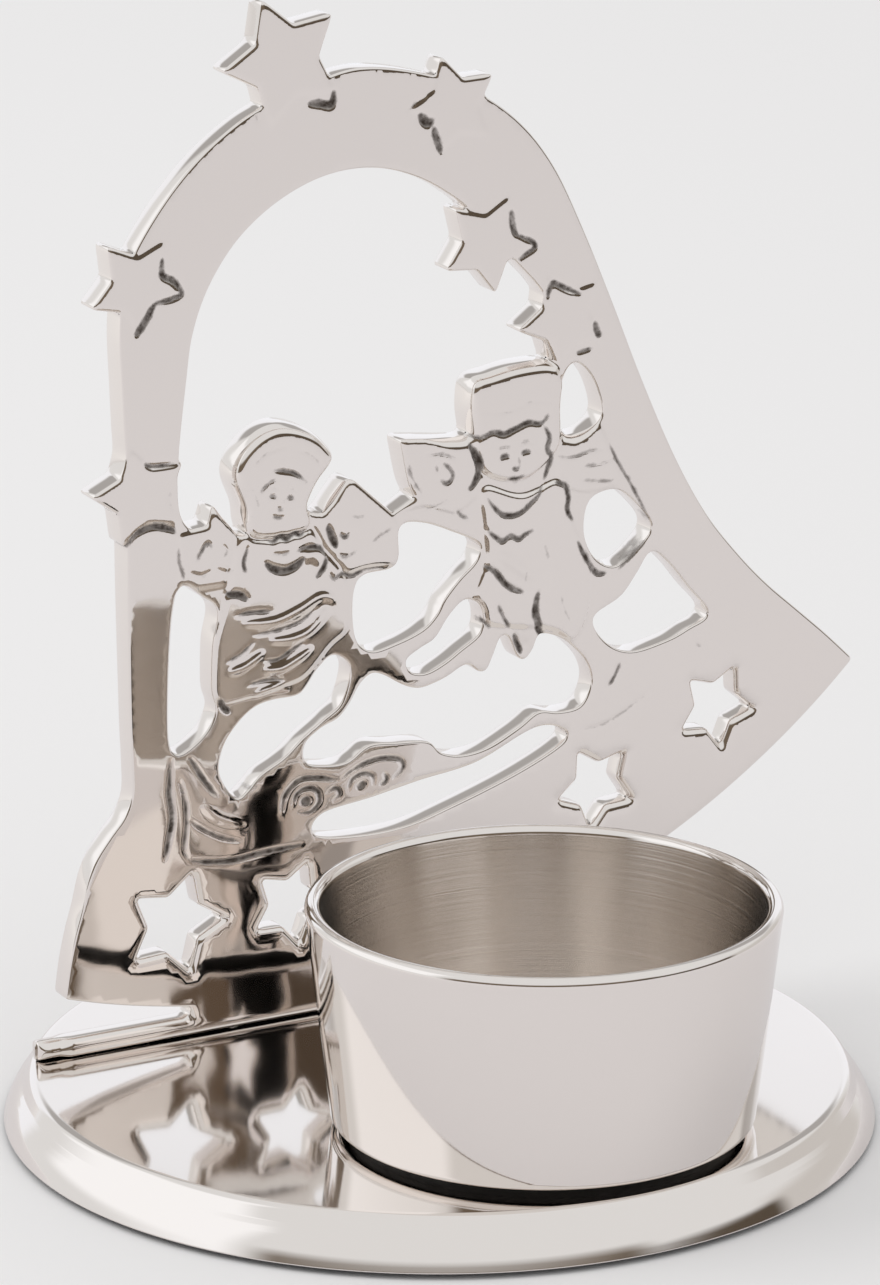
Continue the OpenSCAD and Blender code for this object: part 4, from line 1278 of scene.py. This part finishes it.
class HOLDER_OT_stage(bpy.types.Operator):
    """Sets the camera, the pale floor and the studio light"""

    bl_idname = "holder.stage"
    bl_label = "Stage"

    def execute(self, context):
        scene = context.scene
        stage = scene.holder_stage
        camera = bpy.data.objects.new("camera", bpy.data.cameras.new("camera"))
        scene.collection.objects.link(camera)
        camera.location = stage.camera_place
        camera.rotation_euler = stage.camera_turn
        camera.data.lens = stage.lens
        camera.data.sensor_width = 36
        camera.data.sensor_fit = "AUTO"
        camera.data.clip_start = 0.01
        scene.camera = camera
        scene.view_settings.view_transform = "Standard"
        self.make_floor(stage)
        self.make_world(scene, stage)
        self.make_lights(scene, stage)
        return {"FINISHED"}

    def make_floor(self, stage):
        """A wide pale tabletop of matt paper."""
        half = 3
        corners = [(-half, -half, 0), (half, -half, 0), (half, half, 0), (-half, half, 0)]
        floor = mesh_object("floor", corners, [(0, 1, 2, 3)])
        material, tree = new_material("matt_paper")
        # The metal shows its near colour up to one distance behind, and its far one from another:
        # painted shade near and painted light behind, which only the metal shows
        away, near, far = (-0.45, 0.9, 0), 0.05, 0.4
        place = add_node(tree, "ShaderNodeTexCoord").outputs["Object"]
        behind = add_node(tree, "ShaderNodeVectorMath", {0: place, 1: away},
                          operation="DOT_PRODUCT").outputs["Value"]
        share = add_node(tree, "ShaderNodeMapRange",
                         {"Value": behind, "From Min": near, "From Max": far})
        floor_light_in_metal = add_node(tree, "ShaderNodeMix",
                         {"A": hex_colour(stage.near_floor_shade_hex), "B": hex_colour(stage.far_floor_light_hex),
                          "Factor": share}, data_type="RGBA").outputs[2]
        path = add_node(tree, "ShaderNodeLightPath").outputs["Is Glossy Ray"]
        colour = add_node(tree, "ShaderNodeMix",
                          {"A": hex_colour(stage.floor_hex), "B": floor_light_in_metal, "Factor": path},
                          data_type="RGBA").outputs[2]
        shader = add_node(tree, "ShaderNodeBsdfDiffuse", {"Color": colour})
        add_node(tree, "ShaderNodeOutputMaterial", {"Surface": shader})
        floor.data.materials.append(material)

    def make_world(self, scene, stage):
        """An even pale surround, which the metal shows as a studio."""
        world = bpy.data.worlds.new("surround")
        scene.world = world
        world.use_nodes = True
        tree = world.node_tree
        tree.nodes.clear()
        place = add_node(tree, "ShaderNodeTexCoord").outputs["Generated"]
        parts = add_node(tree, "ShaderNodeSeparateXYZ", {"Vector": place}).outputs
        azimuth = add_node(tree, "ShaderNodeMath", {0: parts["X"], 1: parts["Y"]},
                           operation="ARCTAN2")
        elevation = add_node(tree, "ShaderNodeMath", {0: parts["Z"]}, operation="ARCSINE")
        colour = (stage.studio_level, stage.studio_level, stage.studio_level, 1)
        for turn, wide, rise, tall, soft, level, code in STUDIO_PATCHES:
            off = add_node(tree, "ShaderNodeMath", {0: azimuth, 1: math.radians(turn)},
                           operation="SUBTRACT")
            wrapped = add_node(tree, "ShaderNodeMath", {0: off, 1: math.pi, 2: -math.pi},
                               operation="WRAP")
            over = add_node(tree, "ShaderNodeMath", {0: elevation, 1: math.radians(rise)},
                            operation="SUBTRACT")
            mask = add_node(tree, "ShaderNodeMath", {0: self.soft_edge(tree, wrapped, wide, soft),
                                                     1: self.soft_edge(tree, over, tall, soft)},
                            operation="MULTIPLY")
            patch = [level * part for part in hex_colour(code)[:3]]
            colour = add_node(tree, "ShaderNodeMix",
                              {"A": colour, "B": (*patch, 1), "Factor": mask},
                              data_type="RGBA").outputs[2]
        path = add_node(tree, "ShaderNodeLightPath").outputs["Is Glossy Ray"]
        seen = add_node(tree, "ShaderNodeMix",
                        {"A": hex_colour(stage.surround_hex), "B": colour, "Factor": path},
                        data_type="RGBA").outputs[2]
        light = add_node(tree, "ShaderNodeBackground", {"Color": seen, "Strength": 1})
        add_node(tree, "ShaderNodeOutputWorld", {"Surface": light})

    def soft_edge(self, tree, angle, half, soft):
        """1 where an angle is within a half width and 0 outside, with a soft edge in degrees."""
        size = add_node(tree, "ShaderNodeMath", {0: angle}, operation="ABSOLUTE")
        return add_node(tree, "ShaderNodeMapRange",
                        {"Value": size, "From Min": math.radians(half - soft / 2),
                         "From Max": math.radians(half + soft / 2), "To Min": 1, "To Max": 0},
                        interpolation_type="SMOOTHSTEP")

    def make_lights(self, scene, stage):
        """A large soft box on the left and behind, which the metal doesn't show."""
        light = bpy.data.objects.new("soft_box", bpy.data.lights.new("soft_box", "AREA"))
        scene.collection.objects.link(light)
        light.data.shape = "SQUARE"
        light.data.size = stage.light_size
        light.data.energy = stage.light_power
        light.location = stage.light_place
        aim = Vector(stage.light_aim) - light.location
        light.rotation_euler = aim.to_track_quat("-Z", "Y").to_euler()
        light.visible_camera = False
        light.visible_glossy = False


class HOLDER_PT_panel(bpy.types.Panel):
    """Lists the holder's pieces"""

    bl_label = "Tea light holder"
    bl_idname = "HOLDER_PT_panel"
    bl_space_type = "VIEW_3D"
    bl_region_type = "UI"
    bl_category = "Holder"

    def draw(self, context):
        for step in STEPS:
            self.layout.operator(step.bl_idname)


STEPS = [HOLDER_OT_stage, HOLDER_OT_base_plate, HOLDER_OT_cup, HOLDER_OT_fittings,
         HOLDER_OT_bell_panel]
CLASSES = [HolderCasting, HolderTurning, HolderStage, *STEPS, HOLDER_PT_panel]
SETTINGS = {"holder_casting": HolderCasting, "holder_turning": HolderTurning,
            "holder_stage": HolderStage}


def register():
    for made in CLASSES:
        bpy.utils.register_class(made)
    for name, group in SETTINGS.items():
        setattr(bpy.types.Scene, name, PointerProperty(type=group))


def unregister():
    for name in SETTINGS:
        delattr(bpy.types.Scene, name)
    for made in reversed(CLASSES):
        bpy.utils.unregister_class(made)


def main():
    register()
    bpy.ops.holder.stage()
    bpy.ops.holder.base_plate()
    bpy.ops.holder.cup()
    bpy.ops.holder.fittings()
    bpy.ops.holder.bell_panel()


if __name__ == "__main__":
    main()
